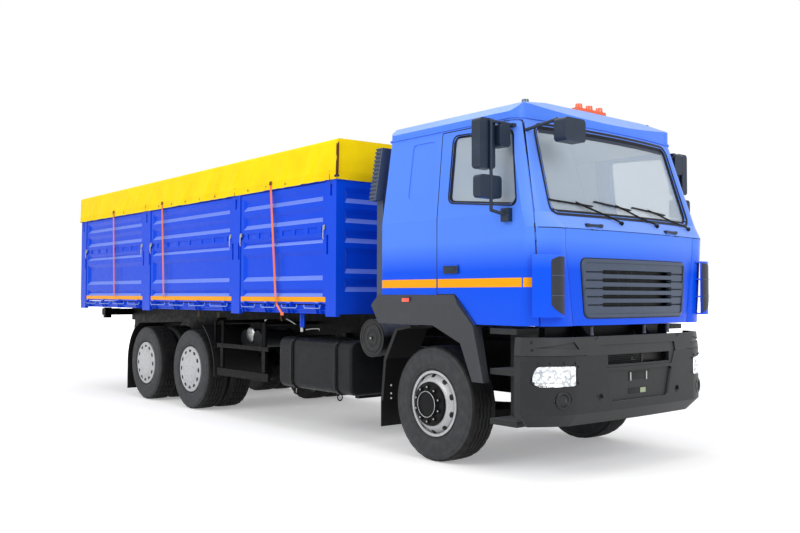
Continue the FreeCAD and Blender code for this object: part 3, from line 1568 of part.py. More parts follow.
# Equipment on the frame's sides
def fuel_tank():
    """The fuel tank with two straps, on two brackets from the rail."""
    outline = [(-tank_outer_y, tank_bottom), (-tank_inner_y, tank_bottom), (-tank_inner_y, tank_top),
               (-tank_outer_y, tank_top)]
    tank = cross_plate(outline, tank_rear, tank_front, tank_round)
    ends = [face for face in tank.Faces if face.BoundBox.XLength < tank_end_round]
    tank = tank.makeFillet(tank_end_round, [edge for face in ends for edge in face.Edges])
    pieces = [tank]
    for x in (strap_front_x, strap_rear_x):
        grown = [(-tank_outer_y - strap_thickness, tank_bottom - strap_thickness),
                 (-tank_inner_y + strap_thickness, tank_bottom - strap_thickness),
                 (-tank_inner_y + strap_thickness, tank_top + strap_thickness),
                 (-tank_outer_y - strap_thickness, tank_top + strap_thickness)]
        pieces.append(cross_plate(grown, x - strap_width / 2, x + strap_width / 2,
                                  tank_round + strap_thickness))
        pieces.append(block(x - tank_bracket_width / 2, x + tank_bracket_width / 2,
                            -tank_inner_y - 3 * tank_round,
                            -rail_half_spacing, tank_bottom - tank_bracket_depth,
                            tank_bottom + strap_thickness))
        pieces.append(block(x - tank_bracket_width / 2, x + tank_bracket_width / 2,
                            -rail_half_spacing - tank_bracket_depth, -rail_half_spacing,
                            tank_bottom - tank_bracket_depth, rail_top - rail_wall))
    return join(pieces)


def air_filter():
    """The round air filter, lying across, with its end cap and its bracket to the rail."""
    centre = vec(filter_x, -filter_inner_y, filter_z)
    body = rod(centre, vec(filter_x, -filter_outer_y, filter_z), filter_radius)
    cap = rod(vec(filter_x, -filter_outer_y + filter_cap_length, filter_z),
              vec(filter_x, -filter_outer_y, filter_z), filter_cap_radius)
    bracket = block(filter_x - tank_bracket_width, filter_x + tank_bracket_width,
                    -filter_inner_y - tank_bracket_width,
                    -rail_half_spacing, filter_z - filter_radius - rail_wall,
                    filter_z - filter_radius + tank_bracket_width)
    return join([body, cap, bracket])


def air_receivers():
    """Two compressed-air tanks, lying across under one strap plate on the rail."""
    pieces = []
    for x in (receiver_front_x, receiver_rear_x):
        pieces.append(rod(vec(x, -rail_half_spacing - rail_wall, receiver_z),
                          vec(x, -receiver_outer_y, receiver_z),
                          receiver_radius))
    plate_x = (receiver_rear_x, receiver_front_x)
    pieces.append(block(plate_x[0], plate_x[1], -rail_half_spacing - 2 * rail_wall, -rail_half_spacing,
                        receiver_z - receiver_radius, rail_top))
    return join(pieces)


def battery_box():
    """The battery box on the left rail, with its two bracket plates."""
    outline = [(battery_inner_y, battery_bottom), (battery_outer_y, battery_bottom),
               (battery_outer_y, battery_top),
               (battery_inner_y, battery_top)]
    box = cross_plate(outline, battery_rear, battery_front, battery_round)
    pieces = [box]
    for x in (battery_front - 2 * tank_bracket_width, battery_rear + tank_bracket_width):
        pieces.append(block(x, x + tank_bracket_width, rail_half_spacing, battery_inner_y + battery_round,
                            rail_bottom, rail_bottom + tank_bracket_depth))
    return join(pieces)


def exhaust_silencer():
    """The round silencer box on the left rail, with its outlet pipe and its saddle."""
    body = rod(vec(silencer_rear, silencer_y, silencer_z), vec(silencer_front, silencer_y, silencer_z),
               silencer_radius)
    pipe = rod(vec(silencer_rear - silencer_pipe_length, silencer_y, silencer_z),
               vec(silencer_rear + silencer_pipe_length, silencer_y, silencer_z), silencer_pipe_radius)
    pieces = [body, pipe]
    length = silencer_front - silencer_rear
    for x in (silencer_rear + length / 4, silencer_front - length / 4):
        pieces.append(block(x - tank_bracket_width / 2, x + tank_bracket_width / 2, rail_half_spacing,
                            silencer_y,
                            rail_bottom, rail_bottom + tank_bracket_depth))
    return join(pieces)


def side_guard(side, front, rear):
    """Two rails on two posts with rounded hoops up to the frame."""
    outer = side_guard_outer_y
    inner = outer - side_guard_thickness
    pieces = []
    for z, height in ((side_guard_high_z, side_guard_high_height), (side_guard_low_z, side_guard_low_height)):
        pieces.append(block(rear, front, -outer, -inner, z, z + height))
    hoop_y = inner - guard_hoop_radius
    hoop_top = side_guard_hoop_top
    for x in (front - side_guard_front_inset - side_guard_post, rear + side_guard_rear_inset):
        pieces.append(block(x, x + side_guard_post, -inner - side_guard_post_sink,
                            -inner + side_guard_thickness,
                            side_guard_low_z, side_guard_high_z + side_guard_high_height))
        middle = x + side_guard_post / 2
        run = [vec(middle, -hoop_y, side_guard_high_z), vec(middle, -hoop_y, hoop_top),
               vec(middle, -rail_half_spacing, hoop_top)]
        pieces.append(bent_rod(run, guard_hoop_radius))
    guard = join(pieces)
    return guard if side < 0 else across(guard)


def tail_bar():
    """The beam across the bearers' rear ends, with a bracket and a rear lamp at both of its ends."""
    half = tail_bar_half_width
    rear_x = bearer_rear - tail_bar_depth
    pieces = [block(rear_x, bearer_rear, -half, half, tail_bar_z, tail_bar_z + tail_bar_height)]
    for side in (-1, 1):
        end_y = min(side * half, side * (half - tail_end_width))
        pieces.append(block(rear_x, bearer_rear, end_y, end_y + tail_end_width, tail_end_low, tail_end_top))
        lamp_y = min(side * half, side * (half - tail_lamp_width))
        pieces.append(block(rear_x - tail_lamp_depth, rear_x, lamp_y, lamp_y + tail_lamp_width,
                            tail_bar_z, tail_bar_z + tail_lamp_height))
    return join(pieces)


# Load body
def bed_floor():
    """The floor on its cross-bearers, which lie on the frame's bearers."""
    half = floor_half_width
    bearer_half = bed_half_width - post_depth + sill_overlap - sill_width - floor_seat_gap
    floor = block(bed_rear + board_depth + board_inset + bed_edge_gap,
                  bed_front - front_wall_thickness - bed_edge_gap,
                  -half, half, bed_floor_top - bed_floor_thickness, bed_floor_top)
    pieces = [floor]
    first = bearer_rear + cross_bearer_width
    last = bearer_front - cross_bearer_width
    pitch = (last - first) / (cross_bearer_count - 1)
    for index in range(cross_bearer_count):
        x = first + index * pitch
        pieces.append(block(x - cross_bearer_width / 2, x + cross_bearer_width / 2, -bearer_half, bearer_half,
                            bearer_top, bed_floor_top - bed_floor_thickness))
    return join(pieces)


def side_post(span, side):
    """A body post on one side, with a lock slot next to each bay and one at its top."""
    outer = bed_half_width
    y_low = min(side * (outer - post_depth), side * outer)
    post = block(span[0], span[1], y_low, y_low + post_depth, post_bottom, cant_rail_bottom)
    slots = [((span[0] + span[1]) / 2, board_top - board_rail / 2, top_lock_height)]
    if span[0] > bed_rear:
        slots.append((span[0] + lock_slot_inset, board_split - board_rail, lock_slot_height))
    if span[1] < bed_front:
        slots.append((span[1] - lock_slot_inset, board_split - board_rail, lock_slot_height))
    slot_y = min(side * outer, side * (outer - lock_slot_depth))
    for x, top, height in slots:
        post = post.cut(block(x - lock_slot_width / 2, x + lock_slot_width / 2, slot_y,
                              slot_y + lock_slot_depth, top - height, top))
    return post


def side_sill(side):
    """The sill under one side: a beam, a lip that edges the floor, and a flange along each bay."""
    def outward(inner, outer):
        return min(side * inner, side * outer), max(side * inner, side * outer)

    outer = bed_half_width - post_depth + sill_overlap
    sill_top = bed_floor_top - bed_floor_thickness - floor_seat_gap
    low, high = outward(outer - sill_width, outer)
    pieces = [block(bed_rear, bed_front, low, high, bearer_top, sill_top)]
    low, high = outward(floor_half_width + floor_seat_gap, outer)
    pieces.append(block(bed_rear, bed_front, low, high, sill_top, bed_floor_top))
    low, high = outward(outer - sill_overlap, outer + sill_flange_reach)
    for ends in bay_ends:
        pieces.append(block(ends[0], ends[1], low, high, sill_flange_z,
                            sill_flange_z + sill_flange_thickness))
        pieces += [bracket if side < 0 else across(bracket) for bracket in hinge_brackets(ends)]
    return pieces


def front_wall():
    """The body's front wall, one sheet panel with pressed pockets."""
    half = bed_half_width - post_depth
    wall = block(bed_front - front_wall_thickness, bed_front, -half, half, bearer_top, post_top)
    for rows in wall_pockets:
        wall = wall.cut(pressed_pocket((board_rail - half, half - board_rail), rows,
                                       bed_front - wall_pocket_depth,
                                       bed_front, False))
    return wall


def bed_frame():
    """Posts, front wall, sills with the boards' hinge brackets, cant rails and bows."""
    outer = bed_half_width
    sill_top = bed_floor_top - bed_floor_thickness - floor_seat_gap
    pieces = [front_wall()]
    for side in (-1, 1):
        pieces += [side_post(span, side) for span in post_spans]
        pieces += side_sill(side)
        y_low = min(side * (outer - post_depth), side * outer)
        pieces.append(block(bed_rear, bed_front, y_low, y_low + post_depth, cant_rail_bottom,
                            cant_rail_bottom + cant_rail_height))
    pieces.append(block(bed_rear, bed_rear + post_depth, -outer + post_depth, outer - post_depth, bearer_top,
                        sill_top))
    pieces += [bow((span[0] + span[1]) / 2) for span in post_spans]
    frame = join(pieces)
    for side in (-1, 1):
        frame = frame.cut(tailgate_pin(side, board_pin_gap))
    return frame


def tailgate_pin(side, gap):
    """The pin at one top corner of the tailgate, or with a gap the bore that it turns in."""
    x = bed_rear + board_inset + board_depth / 2
    inner = bed_half_width - post_depth - 2 * tailgate_side_gap
    outer = bed_half_width - post_depth + tailgate_pin_reach + gap
    return rod(vec(x, side * inner, tailgate_pin_z), vec(x, side * outer, tailgate_pin_z),
               tailgate_pin_radius + gap)


def hinge_places(ends):
    x_low, x_high = ends[0] + board_end_gap, ends[1] - board_end_gap
    return [x_low + (x_high - x_low) * share for share in board_hinge_shares]


def hinge_brackets(ends):
    """On the right sill: the pins of one board's hinges, each held by two cheeks below the board."""
    axis_y = -bed_half_width - board_hinge_proud
    axis_z = board_bottom + board_hinge_rise
    root_y = -bed_half_width + post_depth - sill_overlap / 2
    under = board_bottom - hinge_clearance
    brackets = []
    for x in hinge_places(ends):
        outline = [(root_y, bearer_top), (root_y, under), (axis_y + board_hinge_radius, under),
                   (axis_y + board_hinge_radius, axis_z + board_hinge_radius),
                   (axis_y - board_hinge_radius, axis_z + board_hinge_radius),
                   (axis_y - board_hinge_radius, under - hinge_cheek), (-bed_half_width, bearer_top)]
        reach = board_rail / 2 + hinge_cheek_gap
        for start in (x - reach - hinge_cheek, x + reach):
            brackets.append(cross_plate(outline, start, start + hinge_cheek))
        brackets.append(rod(vec(x - reach - hinge_cheek, axis_y, axis_z),
                            vec(x + reach + hinge_cheek, axis_y, axis_z),
                            board_pin_radius))
    return brackets


def bow(x):
    """One bow: two uprights on the cant rails and a low gable between them."""
    eaves_y = tarp_half_width - tarp_skin - tarp_eaves_inset
    side_y = eaves_y - bow_thickness / 2
    low = cant_rail_bottom + cant_rail_height
    ridge = tarp_ridge - tarp_skin - bow_seat_gap
    high = ridge - (tarp_ridge - tarp_eaves) * side_y / eaves_y
    outline = [
        (-side_y, low), (bow_thickness - side_y, low), (bow_thickness - side_y, high - bow_thickness),
        (0, ridge - bow_thickness), (side_y - bow_thickness, high - bow_thickness),
        (side_y - bow_thickness, low),
        (side_y, low), (side_y, high), (0, ridge), (-side_y, high),
    ]
    return cross_plate(outline, x - bow_width / 2, x + bow_width / 2)


def pressed_pocket(span, rows, floor, face, along_x):
    """The tool for one pressed pocket: it widens from the pocket's floor out through the panel's face."""
    slope = min(pocket_slope, (rows[1] - rows[0]) * pocket_slope_share)
    wires = []
    for depth, sign in ((floor, 1), (face + face - floor, -1)):
        start, end = span[0] + sign * pocket_end_taper, span[1] - sign * pocket_end_taper
        low, high = rows[0] + sign * slope, rows[1] - sign * slope
        corners = [(start, low), (end, low), (end, high), (start, high)]
        points = [vec(place, depth, z) if along_x else vec(depth, place, z) for place, z in corners]
        wires.append(Part.makePolygon(points + points[:1]))
    return Part.makeLoft(wires, True, True)


def side_board(ends):
    """One bay's drop side: a lower and an upper panel with pressed pockets, joined by hinge blocks."""
    outer_y = -bed_half_width + board_inset
    inner_y = outer_y + board_depth
    x_low, x_high = ends[0] + board_end_gap, ends[1] - board_end_gap
    pieces = []
    for z_low, z_high, pockets in ((board_bottom, board_split - board_rail / 2, lower_pockets),
                                   (board_split + board_rail / 2, board_top, upper_pockets)):
        panel = block(x_low, x_high, outer_y, inner_y, z_low, z_high)
        for rows in pockets:
            panel = panel.cut(pressed_pocket((x_low + board_rail, x_high - board_rail), rows,
                                             inner_y - board_sheet, outer_y, True))
        pieces.append(panel)
    pitch = (x_high - x_low) / board_block_count
    for index in range(board_block_count):
        x = x_low + (index + 1 / 2) * pitch
        pieces.append(block(x - board_block_width / 2, x + board_block_width / 2, outer_y, inner_y,
                            board_split - board_rail / 2, board_split + board_rail / 2))
    return join(pieces)


def hinge_strap(ends):
    """The bored knuckles on a board's lower edge, which turn on the brackets' pins."""
    outer_y = -bed_half_width + board_inset
    axis_y = -bed_half_width - board_hinge_proud
    axis_z = board_bottom + board_hinge_rise
    straps = []
    for x in hinge_places(ends):
        x_low, x_high = x - board_rail / 2, x + board_rail / 2
        knuckle_piece = rod(vec(x_low, axis_y, axis_z), vec(x_high, axis_y, axis_z), board_hinge_radius)
        leaf = block(x_low, x_high, axis_y, outer_y + board_sheet, axis_z, axis_z + board_hinge_radius)
        bore = rod(vec(x_low - overrun, axis_y, axis_z), vec(x_high + overrun, axis_y, axis_z),
                   board_pin_radius + board_pin_gap)
        straps.append(knuckle_piece.fuse(leaf).cut(bore))
    return straps


def tailgate():
    """The rear drop board, full height, with pockets pressed like the sides."""
    outer_x = bed_rear + board_inset
    half = bed_half_width - post_depth - tailgate_side_gap
    panel = block(outer_x, outer_x + board_depth, -half, half, board_bottom, board_top)
    for rows in lower_pockets + upper_pockets:
        panel = panel.cut(pressed_pocket((board_rail - half, half - board_rail), rows,
                                         outer_x + board_depth - board_sheet, outer_x, False))
    return join([panel, tailgate_pin(-1, 0), tailgate_pin(1, 0)])


def tarpaulin():
    """The cover: a low gabled top and four skirts, open below."""
    def cover(skin):
        half = tarp_half_width - skin
        eaves = half - tarp_eaves_inset
        outline = [(half, tarp_bottom), (eaves, tarp_eaves - skin), (0, tarp_ridge - skin),
                   (-eaves, tarp_eaves - skin), (-half, tarp_bottom)]
        if skin > 0:
            outline += [(-half, tarp_bottom - overrun), (half, tarp_bottom - overrun)]
        return cross_plate(outline, tarp_rear + skin, tarp_front - skin)

    return cover(0).cut(cover(tarp_skin))


# Fittings on the cab
def roof_lamps():
    """Two clearance lamps on the shoulders and three beacons on a bar."""
    lamps = []
    for side in (-1, 1):
        lamp = Part.makeCone(marker_radius, marker_radius - marker_taper, marker_height,
                             vec(marker_x, side * marker_y, marker_base_z))
        lamps.append(lamp.cut(cab_roof_solid))
    pieces = [block(beacon_x - beacon_bar_depth / 2, beacon_x + beacon_bar_depth / 2, -beacon_bar_half_length,
                    beacon_bar_half_length, beacon_base_z, beacon_base_z + beacon_bar_height)]
    for step in (-1, 0, 1):
        foot = vec(beacon_x, step * beacon_spacing, beacon_base_z + beacon_bar_height)
        pieces.append(Part.makeCone(beacon_radius, beacon_radius - beacon_taper, beacon_height, foot))
    lamps.append(join(pieces).cut(cab_roof_solid))
    return lamps


def soft_box(x, y, z_low, depth, width, height, radius):
    """A mirror housing: a block with its upright edges and its ends rounded."""
    outline = [(y - width / 2, z_low), (y + width / 2, z_low), (y + width / 2, z_low + height),
               (y - width / 2, z_low + height)]
    return cross_plate(outline, x - depth / 2, x + depth / 2, radius)


def door_mirrors(side):
    """Main, wide-angle and kerb mirrors on one bent arm, with its foot and its head on the door."""
    foot_y = wall_y(mirror_foot_z) + glass_gap
    head_y = wall_y(mirror_head_z) + glass_gap
    run = [vec(mirror_head_x, -head_y - arm_radius, mirror_head_z),
           vec(mirror_arm_x, -mirror_arm_y, mirror_arm_top),
           vec(mirror_arm_x, -mirror_arm_y, mirror_arm_low), vec(mirror_foot_x, -foot_y - arm_radius,
                                                                 mirror_foot_z)]
    pieces = [bent_rod(run, arm_radius)]
    pieces.append(block(mirror_foot_x - mirror_foot_radius, mirror_foot_x + mirror_foot_radius,
                        -foot_y - mirror_foot_radius, -foot_y, mirror_foot_z - mirror_foot_height / 2,
                        mirror_foot_z + mirror_foot_height / 2))
    pieces.append(block(mirror_head_x - mirror_foot_radius, mirror_head_x + mirror_foot_radius / 2,
                        -head_y - mirror_foot_radius, -head_y, mirror_head_z - arm_radius,
                        mirror_head_z + arm_radius))
    pieces.append(soft_box(main_mirror_x, -main_mirror_y, main_mirror_low, main_mirror_depth,
                           main_mirror_width,
                           main_mirror_height, mirror_round))
    pieces.append(soft_box(wide_mirror_x, -wide_mirror_y, wide_mirror_low, wide_mirror_depth,
                           wide_mirror_width,
                           wide_mirror_height, mirror_round))
    pieces.append(soft_box(kerb_mirror_x, -kerb_mirror_y, kerb_mirror_low, kerb_mirror_depth,
                           kerb_mirror_width,
                           kerb_mirror_height, mirror_round))
    mirrors = join(pieces)
    return mirrors if side < 0 else across(mirrors)


def front_mirror():
    """The close-view mirror ahead of the windscreen's right corner, on its arm."""
    run = [vec(front_mirror_foot_x, -front_mirror_foot_y, front_mirror_foot_z),
           vec(front_mirror_x, -front_mirror_y - front_mirror_length / 3, front_mirror_elbow_z),
           vec(front_mirror_x, -front_mirror_y, front_mirror_z)]
    arm = bent_rod(run, arm_radius)
    housing = soft_box(front_mirror_x + front_mirror_depth / 2, -front_mirror_y,
                       front_mirror_z - front_mirror_height / 2,
                       front_mirror_depth, front_mirror_length, front_mirror_height, mirror_round)
    return join([arm, housing]).cut(cab_form(-glass_gap, cab_bottom, cab_seam))


def air_intake():
    """The intake column behind the cab: a louvred head, a duct below it and two stays to the rear wall."""
    head_outline = [(-intake_inner_y, intake_low_z), (-intake_outer_low_y, intake_low_z),
                    (-intake_outer_top_y, intake_top_z), (-intake_inner_y, intake_top_z)]
    head = cross_plate(head_outline, intake_rear_x, intake_front_x)
    pitch = (intake_top_z - intake_low_z) / louvre_count
    for index in range(louvre_count):
        z = intake_low_z + (index + 1 / 2) * pitch
        share = (z - intake_low_z) / (intake_top_z - intake_low_z)
        y = intake_outer_low_y + (intake_outer_top_y - intake_outer_low_y) * share
        slot = block(intake_rear_x - overrun, intake_front_x - louvre_gap, -y - overrun, -y + louvre_depth,
                     z - louvre_gap / 2, z + louvre_gap / 2)
        head = head.cut(slot)
    duct = block(intake_rear_x + louvre_depth, intake_front_x, -intake_inner_y - duct_width, -intake_inner_y,
                 duct_low_z, intake_low_z)
    pieces = [head, duct]
    for z in (intake_low_z, duct_low_z + duct_width):
        wall_x = cab_rear + cab_rear_lean * max(0, z - cab_sill) / (cab_seam - cab_sill)
        pieces.append(block(intake_front_x, wall_x - glass_gap, -intake_inner_y - duct_width / 2,
                            -intake_inner_y,
                            z, z + intake_stay_height))
    return join(pieces)


def cab_interior():
    """Two seats on their pillars, and the dashboard with the steering wheel on the left."""
    seats = []
    for side in (-1, 1):
        y_low = side * seat_y - seat_width / 2
        y_high = y_low + seat_width
        cushion_top = seat_cushion_z + seat_cushion_height
        cushion = block(seat_rear, seat_rear + seat_depth, y_low, y_high, seat_cushion_z, cushion_top)
        back = block(seat_rear - seat_back_thickness, seat_rear, y_low, y_high, seat_cushion_z,
                     cushion_top + seat_back_height)
        pillar_x = seat_rear + (seat_depth - seat_pillar) / 2
        pillar_y = side * seat_y - seat_pillar / 2
        pillar = block(pillar_x, pillar_x + seat_pillar, pillar_y, pillar_y + seat_pillar,
                       cab_bottom + cab_floor_thickness, seat_cushion_z)
        rest_y = side * seat_y - headrest_width / 2
        rest_z = cushion_top + seat_back_height
        rest = block(seat_rear - seat_back_thickness, seat_rear - seat_back_thickness / 3, rest_y,
                     rest_y + headrest_width, rest_z, rest_z + headrest_height)
        seats.append(join([cushion, back, pillar, rest]))
    profile = [(dash_rear_x, dash_low_z), (dash_front_x, dash_low_z - dash_slope), (dash_front_x, dash_top_z),
               (dash_rear_x + dash_slope, dash_top_z), (dash_rear_x, dash_top_z - dash_slope)]
    dash = side_plate(profile, -dash_half_width, dash_half_width)
    foot = block(dash_front_x - dash_foot_depth, dash_front_x, -seat_pillar, seat_pillar,
                 cab_bottom + cab_floor_thickness, dash_top_z - dash_slope)
    tilt = math.radians(steering_wheel_tilt)
    normal = vec(-math.sin(tilt), 0, math.cos(tilt))
    centre = vec(steering_wheel_x, seat_y, steering_wheel_z)
    ring = Part.makeTorus(steering_wheel_radius, steering_wheel_tube, centre, normal)
    hub = rod(centre - normal * column_radius, centre + normal * steering_wheel_tube, 2 * column_radius)
    column = rod(centre, centre - normal * 2 * steering_wheel_radius + vec(steering_wheel_radius, 0, 0),
                 column_radius)
    spoke = block(steering_wheel_x - column_radius / 2, steering_wheel_x + column_radius / 2,
                  seat_y - steering_wheel_radius, seat_y + steering_wheel_radius,
                  steering_wheel_z - steering_wheel_tube, steering_wheel_z + steering_wheel_tube / 2)
    spoke.rotate(centre, vec(0, 1, 0), -steering_wheel_tilt)
    return seats + [join([dash, foot, hub, column, ring, spoke])]


# Write every node
save("chassis_frame", chassis_frame())
save("engine_block", engine_block())
save("front_axle", front_axle())
save("rear_axles", rear_axles())
for side, hand in ((-1, "right"), (1, "left")):
    save("knuckle_" + hand, knuckle(side))
    save("front_tyre_" + hand, tyre(0, side * front_wheel_half_track))
    save("front_rim_" + hand, front_rim(side))
    for number, axle_x in ((1, second_axle_x), (2, third_axle_x)):
        save("rear_tyres_%d_%s" % (number, hand), tyre(axle_x, side * outer_twin_half_track),
             tyre(axle_x, side * inner_twin_half_track))
        save("rear_rims_%d_%s" % (number, hand), rear_rim(axle_x, side))
    save("door_" + hand, cab_door(side))
    save("door_glass_" + hand, door_glass(side))
    save("door_mirrors_" + hand, door_mirrors(side))
    for number, ends in enumerate(bay_ends):
        board = join([side_board(ends)] + hinge_strap(ends))
        save("side_board_%d_%s" % (number + 1, hand), board if side < 0 else across(board))
cab_roof_solid, cab_gutter = cab_roof()
save("cab_body", cab_body())
save("cab_roof", cab_roof_solid, cab_gutter)
save("windscreen", windscreen())
save("arch_trims", arch_trim(-1), arch_trim(1))
save("front_panel", front_panel())
save("grille", grille())
save("corner_deflectors", corner_deflector(-1), corner_deflector(1))
save("roof_lamps", *roof_lamps())
save("front_mirror", front_mirror())
save("air_intake", air_intake())
save("cab_interior", *cab_interior())
save("front_bumper", front_bumper())
save("headlamps", *headlamps())
save("cab_steps", cab_step(-1), cab_step(1))
save("mudguards", front_guard(-1), front_guard(1), *(rear_guards(-1) + rear_guards(1)))
save("fuel_tank", fuel_tank())
save("air_filter", air_filter())
save("air_receivers", air_receivers())
save("battery_box", battery_box())
save("exhaust_silencer", exhaust_silencer())
save("side_guards", side_guard(-1, side_guard_front, side_guard_rear),
     side_guard(1, side_guard_left_front, side_guard_rear))
save("tail_bar", tail_bar())
save("bed_floor", bed_floor())
save("bed_frame", bed_frame())
save("tailgate", tailgate())
save("tarpaulin", tarpaulin())
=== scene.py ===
# %% [markdown]
# A three-axle grain truck in paint, rubber, glass and cloth.
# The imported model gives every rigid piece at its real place. This lesson loads it as a fixed frame,
# dresses each piece in the finish of the real one, and adds the pieces that are too fine or too soft for it.

# %% Load the frame
import math

import bmesh
import bpy
from mathutils import Matrix, Vector, noise
from mathutils.bvhtree import BVHTree


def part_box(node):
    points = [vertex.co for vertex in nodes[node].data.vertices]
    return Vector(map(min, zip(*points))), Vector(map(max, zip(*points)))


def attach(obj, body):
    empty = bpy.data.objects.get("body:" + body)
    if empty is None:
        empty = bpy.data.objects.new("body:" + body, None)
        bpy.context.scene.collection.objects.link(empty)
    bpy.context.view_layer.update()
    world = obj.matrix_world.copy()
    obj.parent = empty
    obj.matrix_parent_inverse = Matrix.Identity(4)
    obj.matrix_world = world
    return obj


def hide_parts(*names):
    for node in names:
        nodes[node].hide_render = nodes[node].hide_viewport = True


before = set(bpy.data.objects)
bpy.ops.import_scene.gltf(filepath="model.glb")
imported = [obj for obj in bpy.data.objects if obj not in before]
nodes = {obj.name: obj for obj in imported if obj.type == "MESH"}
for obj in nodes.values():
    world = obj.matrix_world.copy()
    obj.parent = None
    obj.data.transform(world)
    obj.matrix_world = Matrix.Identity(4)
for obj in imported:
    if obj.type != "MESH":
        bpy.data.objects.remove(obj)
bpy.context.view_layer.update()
print("pieces in the frame:", len(nodes))

# %% [markdown]
# Everything on this truck is placed in millimetres from the front axle, as a fitter would measure it:
# x ahead of the axle, y to the left of the middle and z up from the road.
# The box of a front tyre tells where that axle is in the frame.

# %% Places that the pieces are measured from
MM = 0.001
AXLE_HEIGHT = 525
REAR_AXLES = ((1, -4750), (2, -6150))
SIDES = ((-1, "right"), (1, "left"))
wheel_low, wheel_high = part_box("front_tyre_right")
FRONT_AXLE = (wheel_low[0] + wheel_high[0]) / 2
print("front axle at x %.3f m" % FRONT_AXLE)


def place(x, y, z):
    """A point given in millimetres ahead of the front axle, to the left and up, in the frame's metres."""
    return Vector((FRONT_AXLE + x * MM, y * MM, z * MM))


# %% [markdown]
# Colours are given in sRGB and turned to linear light by one function.
# Each material is a small tree of nodes. One function adds a node with its settings and its links.

# %% Helpers for materials
def linear(code):
    """An sRGB hex code such as 1A2B3C as linear RGBA."""
    parts = [int(code[i:i + 2], 16) / 255 for i in (0, 2, 4)]
    return tuple(c / 12.92 if c <= 0.04045 else ((c + 0.055) / 1.055) ** 2.4 for c in parts) + (1.0,)


def add_node(tree, kind, settings=(), stops=(), **links):
    """Adds a node. settings holds attributes, stops a ramp's colours, and links inputs: values or sockets."""
    made = tree.nodes.new(kind)
    for name, value in dict(settings).items():
        setattr(made, name, value)
    for number, (position, colour) in enumerate(stops):
        made.color_ramp.elements[number].position = position
        made.color_ramp.elements[number].color = colour
    for name, value in links.items():
        wanted = name.replace("_", " ")
        socket = made.inputs[int(name[1:])] if name[0] == "i" and name[1:].isdigit() else made.inputs[wanted]
        if isinstance(value, bpy.types.NodeSocket):
            tree.links.new(value, socket)
        else:
            socket.default_value = value
    return made


def new_material(name):
    material = bpy.data.materials.new(name)
    material.use_nodes = True
    tree = material.node_tree
    tree.nodes.clear()
    out = tree.nodes.new("ShaderNodeOutputMaterial")
    shader = tree.nodes.new("ShaderNodeBsdfPrincipled")
    tree.links.new(shader.outputs[0], out.inputs["Surface"])
    return material, tree, shader


def speckle(tree, size_mm, detail=2.0, roughness=0.5):
    """A cloudy pattern whose grains are about size_mm across, fixed to the piece."""
    where = add_node(tree, "ShaderNodeTexCoord")
    return add_node(tree, "ShaderNodeTexNoise", Vector=where.outputs["Object"], Scale=1 / (size_mm * MM),
                    Detail=detail, Roughness=roughness).outputs["Fac"]


def facing_up(tree, start, end, most):
    """0 to most as a face turns upward in the piece's own axes: none below start, all above end."""
    turned = add_node(tree, "ShaderNodeSeparateXYZ",
                      Vector=add_node(tree, "ShaderNodeTexCoord").outputs["Normal"])
    return add_node(tree, "ShaderNodeMapRange", Value=turned.outputs["Z"], From_Min=start, From_Max=end,
                    To_Min=0.0, To_Max=most).outputs["Result"]


def grey(value):
    return (value, value, value, 1.0)


def set_values(shader, **values):
    for name, value in values.items():
        shader.inputs[name.replace("_", " ")].default_value = value


print("the cab's blue in linear light:", [round(c, 3) for c in linear("0050E6")])

# %% [markdown]
# Cab and body are sprayed in two-coat enamel: a saturated blue with a thin clear coat on top.
# The clear coat gives sharp reflections over a softer base. A very shallow, hand-wide waviness is the
# orange peel of sprayed sheet metal. Road dust lightens the colour low down. Faces that look up are painted
# paler, a painted highlight of the sky, and the cab's upper half is painted paler as painted light from
# above.

# %% Sprayed enamel
ROAD_DUST, PAINTED_UPPER_LIGHT, PAINTED_TOP_HIGHLIGHT = "7F8AA0", "7AB0FF", "A8C4FA"


def enamel(name, code, dust_code, top_dust_mm=1500.0, coat=0.14, base_roughness=0.34, top_highlight=0.3, upper_light=0.0):
    material, tree, shader = new_material(name)
    where = add_node(tree, "ShaderNodeTexCoord")
    split = add_node(tree, "ShaderNodeSeparateXYZ", Vector=where.outputs["Object"])
    height = add_node(tree, "ShaderNodeMapRange", Value=split.outputs["Z"], From_Min=top_dust_mm * MM,
                      From_Max=0.4, To_Min=0.0, To_Max=0.16)
    patch = add_node(tree, "ShaderNodeMath", {"operation": "MULTIPLY"}, i0=height.outputs["Result"],
                     i1=speckle(tree, 240, 5.0))
    dusty = add_node(tree, "ShaderNodeMix", {"data_type": "RGBA"}, i0=patch.outputs[0], i6=linear(code),
                     i7=linear(dust_code))
    # Painted light: above the belt the colour is painted paler, for the brighter light on the cab's upper
    # half.
    above_belt = add_node(tree, "ShaderNodeMapRange", Value=split.outputs["Z"], From_Min=1.72, From_Max=1.98,
                          To_Min=0.0, To_Max=upper_light)
    lit_upper = add_node(tree, "ShaderNodeMix", {"data_type": "RGBA"}, i0=above_belt.outputs["Result"],
                     i6=dusty.outputs[2], i7=linear(PAINTED_UPPER_LIGHT))
    # Painted highlight: faces that look up in the piece's own axes are painted paler.
    highlighted = add_node(tree, "ShaderNodeMix", {"data_type": "RGBA"}, i0=facing_up(tree, 0.12, 0.85, top_highlight),
                       i6=lit_upper.outputs[2], i7=linear(PAINTED_TOP_HIGHLIGHT))
    tree.links.new(highlighted.outputs[2], shader.inputs["Base Color"])
    peel = add_node(tree, "ShaderNodeBump", Strength=0.05, Distance=0.0006, Height=speckle(tree, 14, 1.0))
    tree.links.new(peel.outputs[0], shader.inputs["Coat Normal"])
    rough = add_node(tree, "ShaderNodeValToRGB", Fac=speckle(tree, 90, 3.0),
                     stops=((0.35, grey(base_roughness - 0.05)), (0.7, grey(base_roughness + 0.06))))
    tree.links.new(rough.outputs["Color"], shader.inputs["Roughness"])
    set_values(shader, Coat_Weight=coat, Coat_Roughness=0.06, Coat_IOR=1.4, IOR=1.5, Specular_IOR_Level=0.1)
    return material


